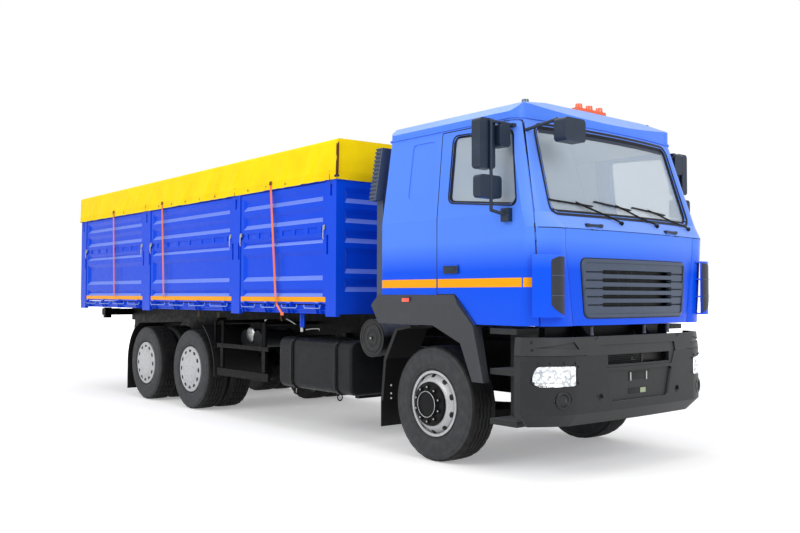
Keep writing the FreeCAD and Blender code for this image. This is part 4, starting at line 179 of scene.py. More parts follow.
# Washed and waxed: the cab reads cleaner and glossier than the load body.
blue_enamel = enamel("blue_enamel", "0050E6", ROAD_DUST, top_highlight=0.45, upper_light=0.42)
# Duller and dustier: the pressed ribs show by a painted highlight on their upper slopes.
blue_enamel_body = enamel("blue_enamel_on_the_drop_sides", "0347DA", ROAD_DUST, 1700.0, 0.1, 0.38, 0.7)
print("enamels:", blue_enamel.name, blue_enamel_body.name)

# %% [markdown]
# Frame and axles are brushed with thick black primer, which stays satin and slightly uneven.
# Tanks and guards get a smoother black. Wheels are sprayed silver-grey with fine metal flake.

# %% Frame black, tank black and wheel silver
def black_coat(name, code, roughness, lump_mm, depth):
    material, tree, shader = new_material(name)
    dust = add_node(tree, "ShaderNodeValToRGB", Fac=speckle(tree, 130, 6.0),
                    stops=((0.55, linear(code)), (0.95, linear("121110"))))
    tree.links.new(dust.outputs["Color"], shader.inputs["Base Color"])
    set_values(shader, Specular_IOR_Level=0.12)
    rough = add_node(tree, "ShaderNodeValToRGB", Fac=speckle(tree, 45, 4.0),
                     stops=((0.3, grey(roughness - 0.1)), (0.7, grey(roughness + 0.12))))
    tree.links.new(rough.outputs["Color"], shader.inputs["Roughness"])
    bump = add_node(tree, "ShaderNodeBump", Strength=0.35, Distance=depth, Height=speckle(tree, lump_mm, 3.0))
    tree.links.new(bump.outputs[0], shader.inputs["Normal"])
    return material


# Brushed primer: deep and satin, so the frame stays a dark shape under the body.
frame_black = black_coat("satin_frame_primer", "030304", 0.5, 6, 0.0008)
# Sprayed enamel on sheet steel: a little paler, with long soft highlights.
tank_black = black_coat("smooth_tank_enamel", "1C1D20", 0.36, 30, 0.0005)
# Sand-cast iron under paint: matte, with grains of a few millimetres.
casting_black = black_coat("painted_iron_casting", "070708", 0.62, 3, 0.0014)


def wheel_silver():
    """Aluminium flake in enamel, with brake dust in patches."""
    material, tree, shader = new_material("silver_wheel_enamel")
    flake = add_node(tree, "ShaderNodeValToRGB", Fac=speckle(tree, 1.5, 0.0),
                     stops=((0.35, linear("9A9C9E")), (0.65, linear("C2C4C6"))))
    dusty = add_node(tree, "ShaderNodeValToRGB", Fac=speckle(tree, 60, 5.0),
                     stops=((0.45, grey(0.0)), (0.8, grey(0.12))))
    dirt = add_node(tree, "ShaderNodeMix", {"data_type": "RGBA"}, i0=dusty.outputs["Color"],
                    i6=flake.outputs["Color"], i7=linear("5C5A56"))
    tree.links.new(dirt.outputs[2], shader.inputs["Base Color"])
    set_values(shader, Metallic=0.35, Roughness=0.42, Coat_Weight=0.25, Coat_Roughness=0.2)
    return material


rim_silver = wheel_silver()
print("wheel paint:", rim_silver.name)

# %% [markdown]
# Bumper, arch trims and steps are moulded in dark grey ABS with a spark-eroded grain:
# a matte surface of tiny pits about two millimetres across, with paler scuffs where shoes and brushes reach.
# The bumper is paler on faces that look up.

# %% Grained and plain plastics
def grained_plastic(name, code, scuff_code, roughness, grain_mm, depth, dust=0.0):
    material, tree, shader = new_material(name)
    scuffs = add_node(tree, "ShaderNodeValToRGB", Fac=speckle(tree, 160, 8.0, 0.6),
                      stops=((0.52, linear(code)), (0.9, linear(scuff_code))))
    # Faces that look up are mixed toward a pale grey.
    dusty = add_node(tree, "ShaderNodeMix", {"data_type": "RGBA"}, i0=facing_up(tree, 0.05, 0.4, dust),
                     i6=scuffs.outputs["Color"], i7=linear("8E9296"))
    tree.links.new(dusty.outputs[2], shader.inputs["Base Color"])
    bump = add_node(tree, "ShaderNodeBump", Strength=0.4, Distance=depth, Height=speckle(tree, grain_mm, 1.0))
    tree.links.new(bump.outputs[0], shader.inputs["Normal"])
    set_values(shader, Roughness=roughness, IOR=1.53, Specular_IOR_Level=0.3)
    return material


# Grained ABS: nearly black in shade, and it spreads the sky's light softly.
bumper_plastic = grained_plastic("grained_grey_abs", "17191B", "25272A", 0.46, 2.2, 0.0004, 0.45)
# The same plastic, faded to a middle grey.
trim_plastic = grained_plastic("grey_arch_abs", "34373B", "404347", 0.5, 2.2, 0.0004)
# Dyed slate grey, smoother, so each slat has a clear highlight.
grille_plastic = grained_plastic("slate_grey_abs", "3E4A5E", "47536A", 0.42, 2.2, 0.0003)
# Blue-black shells that mirror the sky.
mirror_plastic = grained_plastic("blue_black_mirror_abs", "162538", "223247", 0.4, 2.0, 0.0003)
# Blown polyethylene: waxy, black and a little uneven.
guard_plastic = grained_plastic("black_polyethylene", "0B0B0C", "191918", 0.55, 3.0, 0.0006)
print("plastics:", bumper_plastic.name, guard_plastic.name)

# %% [markdown]
# Tyre rubber is black with carbon, dulled by wax and road dust. Seals are the same stuff without the dust,
# and the tread is rubbed darker and rougher by the road.

# %% Rubber
def rubber(name, code, dust_code, amount, roughness):
    material, tree, shader = new_material(name)
    dust = add_node(tree, "ShaderNodeValToRGB", Fac=speckle(tree, 70, 6.0),
                    stops=((0.55 - amount, linear(code)), (0.95, linear(dust_code))))
    tree.links.new(dust.outputs["Color"], shader.inputs["Base Color"])
    bump = add_node(tree, "ShaderNodeBump", Strength=0.25, Distance=0.0006, Height=speckle(tree, 2.5, 2.0))
    tree.links.new(bump.outputs[0], shader.inputs["Normal"])
    set_values(shader, Roughness=roughness, IOR=1.52, Specular_IOR_Level=0.25)
    return material


tyre_rubber = rubber("carbon_black_tyre_rubber", "313235", "434547", 0.15, 0.62)
seal_rubber = rubber("black_seal_rubber", "0B0B0C", "151516", 0.0, 0.45)
tread_rubber = rubber("worn_tread_rubber", "131314", "272726", 0.15, 0.72)
print("rubbers:", tyre_rubber.name, seal_rubber.name, tread_rubber.name)

# %% [markdown]
# Cab glass is float glass. A thin sheet of it shows mostly as a pale reflection with the cab behind it,
# so a half clear sheet with a glossy skin reads better here than thick refracting glass.
# The sheet's pale blue-white colour is a painted reflection.
# The lamp lenses are polycarbonate, clearer and a little grey.

# %% Glass
def clear_sheet(name, code, alpha, roughness=0.02):
    material, _, shader = new_material(name)
    # The half clear sheet's own pale colour is a painted reflection.
    shader.inputs["Base Color"].default_value = linear(code)
    set_values(shader, Roughness=roughness, IOR=1.52, Alpha=alpha, Coat_Weight=0.6, Coat_Roughness=0.02)
    return material


cab_glass = clear_sheet("float_glass", "D2E2F0", 0.34)
lamp_lens = clear_sheet("polycarbonate_lens", "C9CED2", 0.3)
print("glass:", cab_glass.name, lamp_lens.name)

# %% [markdown]
# Lamp covers are cast acrylic with moulded ribs inside. The ribs break the reflection into lines,
# and the dyed plastic catches daylight at its edges, which is drawn as a very weak glow.
# On the roof the beacons in the middle are amber, and the two corner lamps are smoky grey.

# %% Acrylic lenses
RIB_MM, ROOF_RIB_MM = 22, 18


def coloured_lens(name, code, strength=0.0):
    material, tree, shader = new_material(name)
    shader.inputs["Base Color"].default_value = linear(code)
    ridges = add_node(tree, "ShaderNodeTexCoord")
    wave = add_node(tree, "ShaderNodeTexWave", Vector=ridges.outputs["Object"], Scale=1 / (RIB_MM * MM))
    bump = add_node(tree, "ShaderNodeBump", Strength=0.3, Distance=0.0008, Height=wave.outputs["Fac"])
    tree.links.new(bump.outputs[0], shader.inputs["Normal"])
    set_values(shader, Roughness=0.12, IOR=1.49, Coat_Weight=0.8, Coat_Roughness=0.04,
               Emission_Color=linear(code), Emission_Strength=strength)
    return material


def roof_lens():
    """Amber within half a metre of the middle, and smoky grey beyond."""
    material, tree, shader = new_material("roof_lamp_acrylic")
    where = add_node(tree, "ShaderNodeTexCoord")
    split = add_node(tree, "ShaderNodeSeparateXYZ", Vector=where.outputs["Object"])
    across = add_node(tree, "ShaderNodeMath", {"operation": "ABSOLUTE"}, i0=split.outputs["Y"])
    corner = add_node(tree, "ShaderNodeMath", {"operation": "GREATER_THAN"}, i0=across.outputs[0], i1=0.5)
    tint = add_node(tree, "ShaderNodeMix", {"data_type": "RGBA"}, i0=corner.outputs[0], i6=linear("F0560A"),
                    i7=linear("4A5C6C"))
    tree.links.new(tint.outputs[2], shader.inputs["Base Color"])
    wave = add_node(tree, "ShaderNodeTexWave", Vector=where.outputs["Object"], Scale=1 / (ROOF_RIB_MM * MM))
    bump = add_node(tree, "ShaderNodeBump", Strength=0.3, Distance=0.0008, Height=wave.outputs["Fac"])
    tree.links.new(bump.outputs[0], shader.inputs["Normal"])
    set_values(shader, Roughness=0.14, IOR=1.49, Coat_Weight=0.5, Coat_Roughness=0.04)
    return material


roof_acrylic = roof_lens()
red_lens = coloured_lens("red_acrylic", "C41A12", 0.1)
print("lenses:", roof_acrylic.name, red_lens.name)

# %% [markdown]
# The amber line is a film over tiny hexagonal mirrors, seen as a faint net of cells 4 mm across.
# Mirror glass is silvered, and small steel parts are zinc-plated, which is greyer and hazier.

# %% Reflective tape and bright metal
def reflective_tape():
    material, tree, shader = new_material("amber_reflective_tape")
    where = add_node(tree, "ShaderNodeTexCoord")
    cells = add_node(tree, "ShaderNodeTexVoronoi", {"feature": "DISTANCE_TO_EDGE"},
                     Vector=where.outputs["Object"], Scale=1 / (4 * MM))
    tint = add_node(tree, "ShaderNodeValToRGB", Fac=cells.outputs["Distance"],
                    stops=((0.02, linear("E89400")), (0.12, linear("FBA900"))))
    tree.links.new(tint.outputs["Color"], shader.inputs["Base Color"])
    set_values(shader, Roughness=0.4, Specular_IOR_Level=0.15)
    return material


def bright_metal(name, code, roughness):
    material, tree, shader = new_material(name)
    shader.inputs["Base Color"].default_value = linear(code)
    haze = add_node(tree, "ShaderNodeValToRGB", Fac=speckle(tree, 30, 3.0),
                    stops=((0.4, grey(roughness)), (0.8, grey(roughness + 0.08))))
    tree.links.new(haze.outputs["Color"], shader.inputs["Roughness"])
    set_values(shader, Metallic=1.0)
    return material


reflective_amber = reflective_tape()
mirror_silver = bright_metal("silvered_mirror", "D8DCDE", 0.03)
zinc_plate = bright_metal("zinc_plated_steel", "A9AAA8", 0.34)
print("bright parts:", reflective_amber.name, mirror_silver.name, zinc_plate.name)

# %% [markdown]
# The cover is PVC-coated polyester: a yellow plastic skin over a basket weave that just prints through.
# It is matte but waxy, so it has a broad highlight. A weak warm glow is painted light that stands in for
# daylight coming through the cloth. The weave is drawn at 6 mm, coarser than life, to show at all.
# Webbing and seat cloth are plain weaves without a skin.

# %% Coated cloth, webbing and seat cloth
def woven(name, code, shade_code, thread_mm, depth, roughness, sheen, painted_glow=0.0):
    material, tree, shader = new_material(name)
    where = add_node(tree, "ShaderNodeTexCoord")
    threads = []
    for direction in ("X", "Z"):
        wave = add_node(tree, "ShaderNodeTexWave", {"bands_direction": direction},
                        Vector=where.outputs["Object"], Scale=0.5 / (thread_mm * MM) / math.pi)
        threads.append(wave.outputs["Fac"])
    weave = add_node(tree, "ShaderNodeMath", {"operation": "MULTIPLY"}, i0=threads[0], i1=threads[1])
    shade = add_node(tree, "ShaderNodeValToRGB", Fac=speckle(tree, 420, 4.0),
                     stops=((0.4, linear(code)), (0.9, linear(shade_code))))
    tree.links.new(shade.outputs["Color"], shader.inputs["Base Color"])
    bump = add_node(tree, "ShaderNodeBump", Strength=0.3, Distance=depth, Height=weave.outputs[0])
    tree.links.new(bump.outputs[0], shader.inputs["Normal"])
    # The emission is painted light: the cloth glows warm though it is no lamp.
    set_values(shader, Roughness=roughness, IOR=1.48, Specular_IOR_Level=0.1, Sheen_Weight=sheen,
               Sheen_Roughness=0.4, Emission_Color=linear("FFB000"), Emission_Strength=painted_glow)
    return material


cover_cloth = woven("yellow_coated_cloth", "F0D400", "E6C000", 6, 0.0006, 0.5, 0.0, 0.1)
webbing = woven("orange_polyester_webbing", "F08058", "E06A40", 3, 0.0006, 0.7, 0.2)
seat_cloth = woven("charcoal_seat_cloth", "2B2D31", "1E2023", 4, 0.0008, 0.85, 0.4)
# Bare boards and sheet under years of grain dust: dark, and rough in patches as wide as a finger.
floor_sheet = grained_plastic("painted_bed_floor", "1E2228", "3A3C40", 0.6, 20, 0.001)
print("materials made:", len(bpy.data.materials))

# %% [markdown]
# Each piece of the frame now gets the finish of the real one. The order does not matter, the table does.

# %% Dress the frame's pieces
def both_hands(pattern, numbers):
    return [pattern % (n, hand) for n in numbers for _, hand in SIDES]


finishes = {
    blue_enamel: ["cab_body", "cab_roof", "front_panel", "corner_deflectors", "door_left", "door_right"],
    blue_enamel_body: ["bed_frame", "tailgate"] + both_hands("side_board_%d_%s", (1, 2, 3)),
    frame_black: ["chassis_frame", "side_guards", "tail_bar", "exhaust_silencer"],
    tank_black: ["fuel_tank", "air_receivers"],
    casting_black: ["engine_block", "front_axle", "rear_axles", "knuckle_left", "knuckle_right"],
    bumper_plastic: ["front_bumper", "cab_steps", "battery_box", "air_filter"],
    trim_plastic: ["arch_trims"],
    guard_plastic: ["mudguards"],
    grille_plastic: ["grille", "air_intake"],
    mirror_plastic: ["door_mirrors_left", "door_mirrors_right", "front_mirror"],
    rim_silver: ["front_rim_left", "front_rim_right"] + both_hands("rear_rims_%d_%s", (1, 2)),
    tyre_rubber: ["front_tyre_left", "front_tyre_right"] + both_hands("rear_tyres_%d_%s", (1, 2)),
    cab_glass: ["windscreen", "door_glass_left", "door_glass_right"],
    lamp_lens: ["headlamps"],
    roof_acrylic: ["roof_lamps"],
    cover_cloth: ["tarpaulin"],
    seat_cloth: ["cab_interior"],
    floor_sheet: ["bed_floor"],
}
for material, names in finishes.items():
    for name in names:
        slots = nodes[name].material_slots
        if not slots:
            nodes[name].data.materials.append(material)
        for slot in slots:
            slot.material = material
dressed = {name for names in finishes.values() for name in names}
print("left bare:", sorted(set(nodes) - dressed))

# %% [markdown]
# The photographer stood to the right of the cab's front corner, a little above mid-height, with a long enough
# lens to keep the far end in view. These numbers come from fitting the wheels, posts and cab edges.

# %% Camera
def aim_camera(position, yaw, pitch, roll, focal_px, width_px=800):
    data = bpy.data.cameras.new("photographer")
    data.sensor_width = 36.0
    data.lens = focal_px * data.sensor_width / width_px
    camera = bpy.data.objects.new("photographer", data)
    bpy.context.scene.collection.objects.link(camera)
    a, e, r = (math.radians(angle) for angle in (yaw, pitch, roll))
    ahead = Vector((-math.sin(a) * math.cos(e), math.cos(a) * math.cos(e), math.sin(e)))
    right = ahead.cross(Vector((0, 0, 1))).normalized()
    up = right.cross(ahead)
    right, up = math.cos(r) * right + math.sin(r) * up, math.cos(r) * up - math.sin(r) * right
    camera.matrix_world = Matrix.Translation(position) @ Matrix((right, up, -ahead)).transposed().to_4x4()
    bpy.context.scene.camera = camera
    return camera


photographer = aim_camera(place(5901.3, -6517.5, 1509.4), yaw=50.033, pitch=1.889, roll=0.151,
                          focal_px=870.318)
print("lens: %.1f mm" % photographer.data.lens)

# %% [markdown]
# Four shapes make nearly every fitting: a box with its edges taken off, an outline pulled straight,
# a profile turned round an axis, and a bar or a band that follows a line. Each adds to a mesh in millimetres.
# A finished mesh becomes a piece that rides on one of the truck's bodies.

# %% Pieces, boxes and straight outlines
def finish_piece(name, bm, materials, body, crease=32.0, choose=None):
    """Turns the mesh into a piece that rides on a body. choose gives a face's material by its centre."""
    bmesh.ops.recalc_face_normals(bm, faces=bm.faces)
    if choose:
        for face in bm.faces:
            face.material_index = choose(face)
    mesh = bpy.data.meshes.new(name)
    bm.to_mesh(mesh)
    bm.free()
    for material in materials if isinstance(materials, (list, tuple)) else [materials]:
        mesh.materials.append(material)
    mesh.shade_smooth()
    mesh.set_sharp_from_angle(angle=math.radians(crease))
    piece = bpy.data.objects.new(name, mesh)
    bpy.context.scene.collection.objects.link(piece)
    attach(piece, body)
    return piece


def add_box(bm, low, high, edge=2.0):
    """A box between two corners, with its edges rounded off."""
    a, b = place(*low), place(*high)
    size = [abs(p - q) for p, q in zip(a, b)]
    shape = Matrix.Translation((a + b) / 2) @ Matrix.Diagonal((*size, 1))
    made = bmesh.ops.create_cube(bm, size=1, matrix=shape)
    if edge:
        edges = list({e for v in made["verts"] for e in v.link_edges})
        bmesh.ops.bevel(bm, geom=edges, offset=edge * MM, segments=2, profile=0.6, affect="EDGES",
                        clamp_overlap=True)


def add_prism(bm, outline, start, end, along):
    """An outline pulled from start to end along an axis: (y, z) along x, (x, z) along y, (x, y) along z."""
    def point(a, b, c):
        return {"x": place(c, a, b), "y": place(a, c, b), "z": place(a, b, c)}[along]

    rings = [[bm.verts.new(point(a, b, c)) for a, b in outline] for c in (start, end)]
    for ring in rings:
        bm.faces.new(ring)
    count = len(outline)
    for i in range(count):
        j = (i + 1) % count
        bm.faces.new((rings[0][i], rings[0][j], rings[1][j], rings[1][i]))


print("flat shapes ready")

# %% [markdown]
# Nuts, hubs, caps and tyres are all turned: a profile of radius and distance goes once round a line.

# %% Turned shapes
def frame_of(direction):
    """Two directions square to the given one and to each other."""
    d = Vector(direction).normalized()
    helper = Vector((0, 0, 1)) if abs(d.z) < 0.9 else Vector((1, 0, 0))
    u = d.cross(helper).normalized()
    return u, d.cross(u).normalized(), d


def add_turned(bm, profile, centre, direction, steps=48, closed=False, squeeze=1.0):
    """Turns (radius, distance) pairs round a line. profile may be a function of the step."""
    u, v, d = frame_of(direction)
    middle = place(*centre)
    rings = []
    for i in range(steps):
        angle = 2 * math.pi * i / steps
        out = math.cos(angle) * u + math.sin(angle) * squeeze * v
        points = profile(i) if callable(profile) else profile
        ring = []
        for k, (radius, distance) in enumerate(points):
            if radius == 0 and rings:
                ring.append(rings[0][k])
            else:
                ring.append(bm.verts.new(middle + out * radius * MM + d * distance * MM))
        rings.append(ring)
    count = len(rings[0])
    for i in range(steps):
        a, b = rings[i], rings[(i + 1) % steps]
        for k in range(count if closed else count - 1):
            n = (k + 1) % count
            corners = []
            for corner in (a[k], a[n], b[n], b[k]):
                if corner not in corners:
                    corners.append(corner)
            if len(corners) > 2:
                bm.faces.new(corners)


print("turned shapes ready")

# %% [markdown]
# Rods and stays are bars, and straps are bands. Both follow a line of points and keep their section
# square to it. A bolt is a hexagon head on a round washer.

# %% Bars, bands and bolts
def add_bar(bm, points, radius, steps=10, closed=False):
    """A round bar through points."""
    line = [place(*p) for p in points]
    count = len(line)
    rings = []
    side = None
    for i, here in enumerate(line):
        before = line[i - 1] if i or closed else here
        after = line[(i + 1) % count] if i < count - 1 or closed else here
        ahead = (after - before).normalized()
        if side is None:
            side = frame_of(ahead)[0]
        side = (side - ahead * side.dot(ahead)).normalized()
        up = ahead.cross(side)
        rings.append([bm.verts.new(here + (math.cos(2 * math.pi * k / steps) * side
                                           + math.sin(2 * math.pi * k / steps) * up) * radius * MM)
                      for k in range(steps)])
    for i in range(count if closed else count - 1):
        a, b = rings[i], rings[(i + 1) % count]
        for k in range(steps):
            n = (k + 1) % steps
            bm.faces.new((a[k], a[n], b[n], b[k]))
    if not closed:
        bm.faces.new(rings[0])
        bm.faces.new(rings[-1])


def add_band(bm, points, across, width, thickness):
    """A flat band through points, its width along across."""
    line = [place(*p) for p in points]
    side = Vector(across).normalized()
    rings = []
    for i, here in enumerate(line):
        ahead = (line[min(i + 1, len(line) - 1)] - line[max(i - 1, 0)]).normalized()
        flat = ahead.cross(side).normalized()
        rings.append([bm.verts.new(here + (side * a * width + flat * b * thickness) * MM / 2)
                      for a, b in ((-1, -1), (1, -1), (1, 1), (-1, 1))])
    for a, b in zip(rings, rings[1:]):
        for k in range(4):
            n = (k + 1) % 4
            bm.faces.new((a[k], a[n], b[n], b[k]))
    bm.faces.new(rings[0])
    bm.faces.new(rings[-1])


def add_bolts(bm, places, direction, radius, height):
    """Hexagon heads on washers."""
    for centre in places:
        washer = [(0, -1), (radius * 1.35, -1), (radius * 1.35, height * 0.2), (0, height * 0.2)]
        add_turned(bm, washer, centre, direction, 16)
        head = [(0, 0), (radius, 0), (radius, height * 0.85), (radius * 0.85, height), (0, height)]
        add_turned(bm, head, centre, direction, 6)


print("bars and bolts ready")

# %% [markdown]
# Trim follows the body it is stuck to. A ray is sent at the body from each point of a strip,
# and the strip is laid a hair above the place where the ray lands.

# %% Laying thin trim on a surface
AHEAD, BESIDE = 1900, 1700
BACKWARD = (-1, 0, 0)
ray_trees = {}


def land(names, start, direction):
    """Where a ray from start, in metres, first meets one of the named pieces."""
    best = None
    for name in names:
        if name not in ray_trees:
            mesh = nodes[name].data
            ray_trees[name] = BVHTree.FromPolygons([v.co for v in mesh.vertices],
                                                   [tuple(p.vertices) for p in mesh.polygons])
        spot, _, _, distance = ray_trees[name].ray_cast(start, direction)
        if spot is not None and (best is None or distance < best[1]):
            best = (spot, distance)
    return best[0] if best else None


def lay_on(bm, names, rows, direction, lift, thickness, closed=False):
    """A thin sheet whose rows of points are sent along direction until they land on the pieces."""
    d = Vector(direction).normalized()
    starts = [[place(*point) for point in row] for row in rows]
    spots = [[land(names, start, d) for start in row] for row in starts]
    hits = [spot for row in spots for spot in row if spot is not None]
    grid = []
    for start_row, spot_row in zip(starts, spots):
        line = []
        for start, spot in zip(start_row, spot_row):
            if spot is None:
                flat = [(h - start) - d * (h - start).dot(d) for h in hits]
                nearest = hits[min(range(len(hits)), key=lambda i: flat[i].length)]
                spot = start + d * (nearest - start).dot(d)
            upper, lower = spot - d * (lift + thickness) * MM, spot - d * lift * MM
            line.append((bm.verts.new(upper), bm.verts.new(lower)))
        grid.append(line)
    count = len(grid)
    for i in range(count if closed else count - 1):
        a, b = grid[i], grid[(i + 1) % count]
        for k in range(len(a) - 1):
            bm.faces.new((a[k][0], a[k + 1][0], b[k + 1][0], b[k][0]))
            bm.faces.new((a[k][1], a[k + 1][1], b[k + 1][1], b[k][1]))
        for k in (0, -1):
            bm.faces.new((a[k][0], b[k][0], b[k][1], a[k][1]))
    if not closed:
        for line in (grid[0], grid[-1]):
            for k in range(len(line) - 1):
                bm.faces.new((line[k][0], line[k + 1][0], line[k + 1][1], line[k][1]))


def front_strip(bm, names, across, heights, lift, thickness):
    """A strip on the front of the truck: a row of heights at each place across."""
    rows = [[(AHEAD, y, z) for z in heights] for y in across]
    lay_on(bm, names, rows, BACKWARD, lift, thickness)


print("trim helpers ready")

# %% [markdown]
# A truck tyre has a flat tread of ribs parted by zigzag grooves. The drive tyres on the twin wheels
# have cross cuts as well, which make blocks. Rings on the wall show where the casing's layers end.

# %% Tyres
FRONT_WHEEL_Y, TWIN_WHEELS_Y = 1032, (1067, 717)


def tyre_profile(blocks):
    wall = [(286, 118), (300, 122), (316, 137), (321, 144), (329, 145), (350, 151), (354, 153.5),
            (359, 152.5), (400, 156.5), (436, 156), (462, 152.5), (466, 154.5), (471, 151), (489, 146),
            (503, 140)]
    grooves = (-68, -23, 23, 68)

    def profile(step):
        zigzag = 4.0 if (step // 3) % 2 else -4.0
        cut = 9.0 if blocks and step % 6 == 0 else 0.0
        notch = (6.0 if blocks else 2.5) if step % 6 in (0, 1) else 0.0
        half = wall + [(514 - notch / 2, 134), (520 - notch, 129), (523 - notch, 108)]
        tread = []
        for middle in reversed(grooves):
            crown = 525 - 2.5 * (middle / 106) ** 2 - cut
            tread += [(crown, middle + 6 + zigzag), (511, middle + 4 + zigzag), (511, middle - 4 + zigzag),
                      (crown, middle - 6 + zigzag)]
        return half + tread + [(r, -d) for r, d in reversed(half)]
    return profile


def mould_tyre(name, node, x, centres, body, blocks):
    bm = bmesh.new()
    for y in centres:
        add_turned(bm, tyre_profile(blocks), (x, y, AXLE_HEIGHT), (0, 1, 0), 180, closed=True)
    hub = place(x, 0, AXLE_HEIGHT)
    tyre = finish_piece(name, bm, [tyre_rubber, tread_rubber], body, 40,
                        lambda f: int(math.hypot(f.calc_center_median().x - hub.x,
                                                 f.calc_center_median().z - hub.z) > 0.506))
    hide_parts(node)
    return tyre


for side, hand in SIDES:
    mould_tyre("front_tyre_moulding_" + hand, "front_tyre_" + hand, 0, [side * FRONT_WHEEL_Y],
               "front_wheel_" + hand, False)
    for n, x in REAR_AXLES:
        mould_tyre("rear_tyre_mouldings_%d_%s" % (n, hand), "rear_tyres_%d_%s" % (n, hand), x,
                   [side * y for y in TWIN_WHEELS_Y], "rear_wheels_%d_%s" % (n, hand), True)
print("tyres moulded: 10")

# %% [markdown]
# The front wheel shows a silver disc with ten openings, and a black hub flange with ten nuts and a cap.

# %% Front hubs
HUB_FACE_Y, NUTS, NUT_CIRCLE, OPENING_CIRCLE = 1154, 10, 155, 250
DISC = [(150, 1), (190, 30), (200, 48), (212, 47), (232, 34), (256, 10), (270, -12), (277, -27)]
HUB = [(0, 44), (184, 44), (196, 50), (198, 68), (192, 77), (184, 79), (124, 79), (119, 83), (117, 103),
       (110, 107), (104, 105), (98, 97), (0, 99)]
# Enamel on a turned hub: black, smooth and a little glossy.
hub_black = black_coat("black_hub_enamel", "0E0E10", 0.34, 4, 0.0005)


def front_hub(side, hand):
    outward = (0, side, 0)
    centre = (0, side * HUB_FACE_Y, AXLE_HEIGHT)
    body = "front_wheel_" + hand
    dome, vents, hub, trim = bmesh.new(), bmesh.new(), bmesh.new(), bmesh.new()
    add_turned(dome, DISC, centre, outward, 72)
    finish_piece("front_disc_" + hand, dome, rim_silver, body)
    add_turned(hub, HUB, centre, outward, 72)
    for i in range(NUTS):
        angle = 2 * math.pi * (i + 0.5) / NUTS
        around = (math.cos(angle), math.sin(angle))
        nut = (NUT_CIRCLE * around[0], side * HUB_FACE_Y, AXLE_HEIGHT + NUT_CIRCLE * around[1])
        add_turned(hub, [(27, 77), (27, 83), (22, 85), (20, 81), (0, 81)], nut, outward, 24)
        add_turned(hub, [(0, 81), (17, 81), (17, 93), (14, 96), (0, 96)], nut, outward, 6)
        add_turned(trim, [(0, 95), (8, 95), (8, 101), (6, 103), (0, 103)], nut, outward, 12)
        opening = (OPENING_CIRCLE * around[0], side * (HUB_FACE_Y + 14),
                   AXLE_HEIGHT + OPENING_CIRCLE * around[1])
        lean = (around[0] * 0.62, side * 0.78, around[1] * 0.62)
        add_turned(vents, [(0, 3.5), (20, 3.5), (24, 2), (25, -6)], opening, lean, 24, squeeze=1.15)
    add_turned(trim, [(112, 106), (117, 104.5), (119, 107), (115, 110)], centre, outward, 60, closed=True)
    add_turned(trim, [(281, 2), (286, 7), (291, 5), (292, 0)], centre, outward, 72, closed=True)
    finish_piece("front_disc_openings_" + hand, vents, seal_rubber, body)
    finish_piece("front_hub_trim_" + hand, trim, rim_silver, body)
    finish_piece("front_hub_" + hand, hub, hub_black, body)


for side, hand in SIDES:
    front_hub(side, hand)
print("front hubs dressed: 2")

# %% [markdown]
# The rear wheels hide their hubs under a silver cover with long slots near its edge, two shallow rings
# and five screws. The slots are dark shapes laid just over the cover's slope.

# %% Rear wheel covers
COVER_FACE_Y, SLOTS, SLOT_CIRCLE, SLOT_LENGTH, SLOT_WIDTH = 1203, 12, 241, 64, 34
SCREWS, SCREW_CIRCLE = 5, 112


def cover_slots(bm, x, face):
    for i in range(SLOTS):
        angle = 2 * math.pi * i / SLOTS
        radial = Vector((math.cos(angle), 0, math.sin(angle)))
        tangent = Vector((-math.sin(angle), 0, math.cos(angle)))
        rings = []
        for depth, size in ((10.2, 1.0), (17.2, 1.0), (17.4, 0.9), (15.2, 0.8)):
            ring = []
            for k in range(20):
                t = 2 * math.pi * k / 20
                spot = (radial * (SLOT_CIRCLE + SLOT_WIDTH / 2 * size * math.sin(t))
                        + tangent * SLOT_LENGTH / 2 * size * math.cos(t))
                ring.append(bm.verts.new(place(x + spot.x, face + math.copysign(depth, face),
                                               AXLE_HEIGHT + spot.z)))
            rings.append(ring)
        for a, b in zip(rings, rings[1:]):
            for k in range(20):
                j = (k + 1) % 20
                bm.faces.new((a[k], a[j], b[j], b[k]))
        bm.faces.new(rings[0])
        bm.faces.new(rings[-1])


def wheel_cover(n, x, side, hand):
    outward = (0, side, 0)
    face = side * COVER_FACE_Y
    body = "rear_wheels_%d_%s" % (n, hand)
    slots, rings = bmesh.new(), bmesh.new()
    cover_slots(slots, x, face)
    finish_piece("cover_slots_%d_%s" % (n, hand), slots, seal_rubber, body)
    centre = (x, face, AXLE_HEIGHT)
    add_turned(rings, [(176, 22), (180, 25.5), (186, 24), (190, 20)], centre, outward, 60, closed=True)
    add_turned(rings, [(280, 10), (284, 13), (294, 12), (297, 8.5)], centre, outward, 60, closed=True)
    for i in range(SCREWS):
        angle = 2 * math.pi * (i + 0.25) / SCREWS
        spot = (x + SCREW_CIRCLE * math.cos(angle), face, AXLE_HEIGHT + SCREW_CIRCLE * math.sin(angle))
        add_turned(rings, [(0, 25.5), (13, 25.5), (13, 28), (9, 31), (0, 31)], spot, outward, 16)
    finish_piece("cover_rings_%d_%s" % (n, hand), rings, rim_silver, body)


for side, hand in SIDES:
    for n, x in REAR_AXLES:
        wheel_cover(n, x, side, hand)
print("rear wheels covered: 4")

# %% [markdown]
# The cover is one cut of coated cloth over seven bows, with four skirts. Its corners are folded and
# its hem is turned up double. It is stretched by straps, so folds fan out slantwise from where each
# one pulls.

# %% The cover's outline and folds
COVER_REAR, COVER_FRONT, COVER_HALF = -8670.0, -1368.0, 1288.0
COVER_LOW, COVER_EAVES, COVER_RIDGE, HEM = 2708.0, 3112.0, 3144.0, 80.0
REAR_RISE, FRONT_RISE = -9, 20
FOLD_MM, PUCKER_MM, SAG_MM, STRAP_PULL_MM, CLOTH_MM = 34, 3.5, 4, 7, 1.5
STRAPS = ((-7218, -7154), (-5487, -5404), (-2627, -2502))


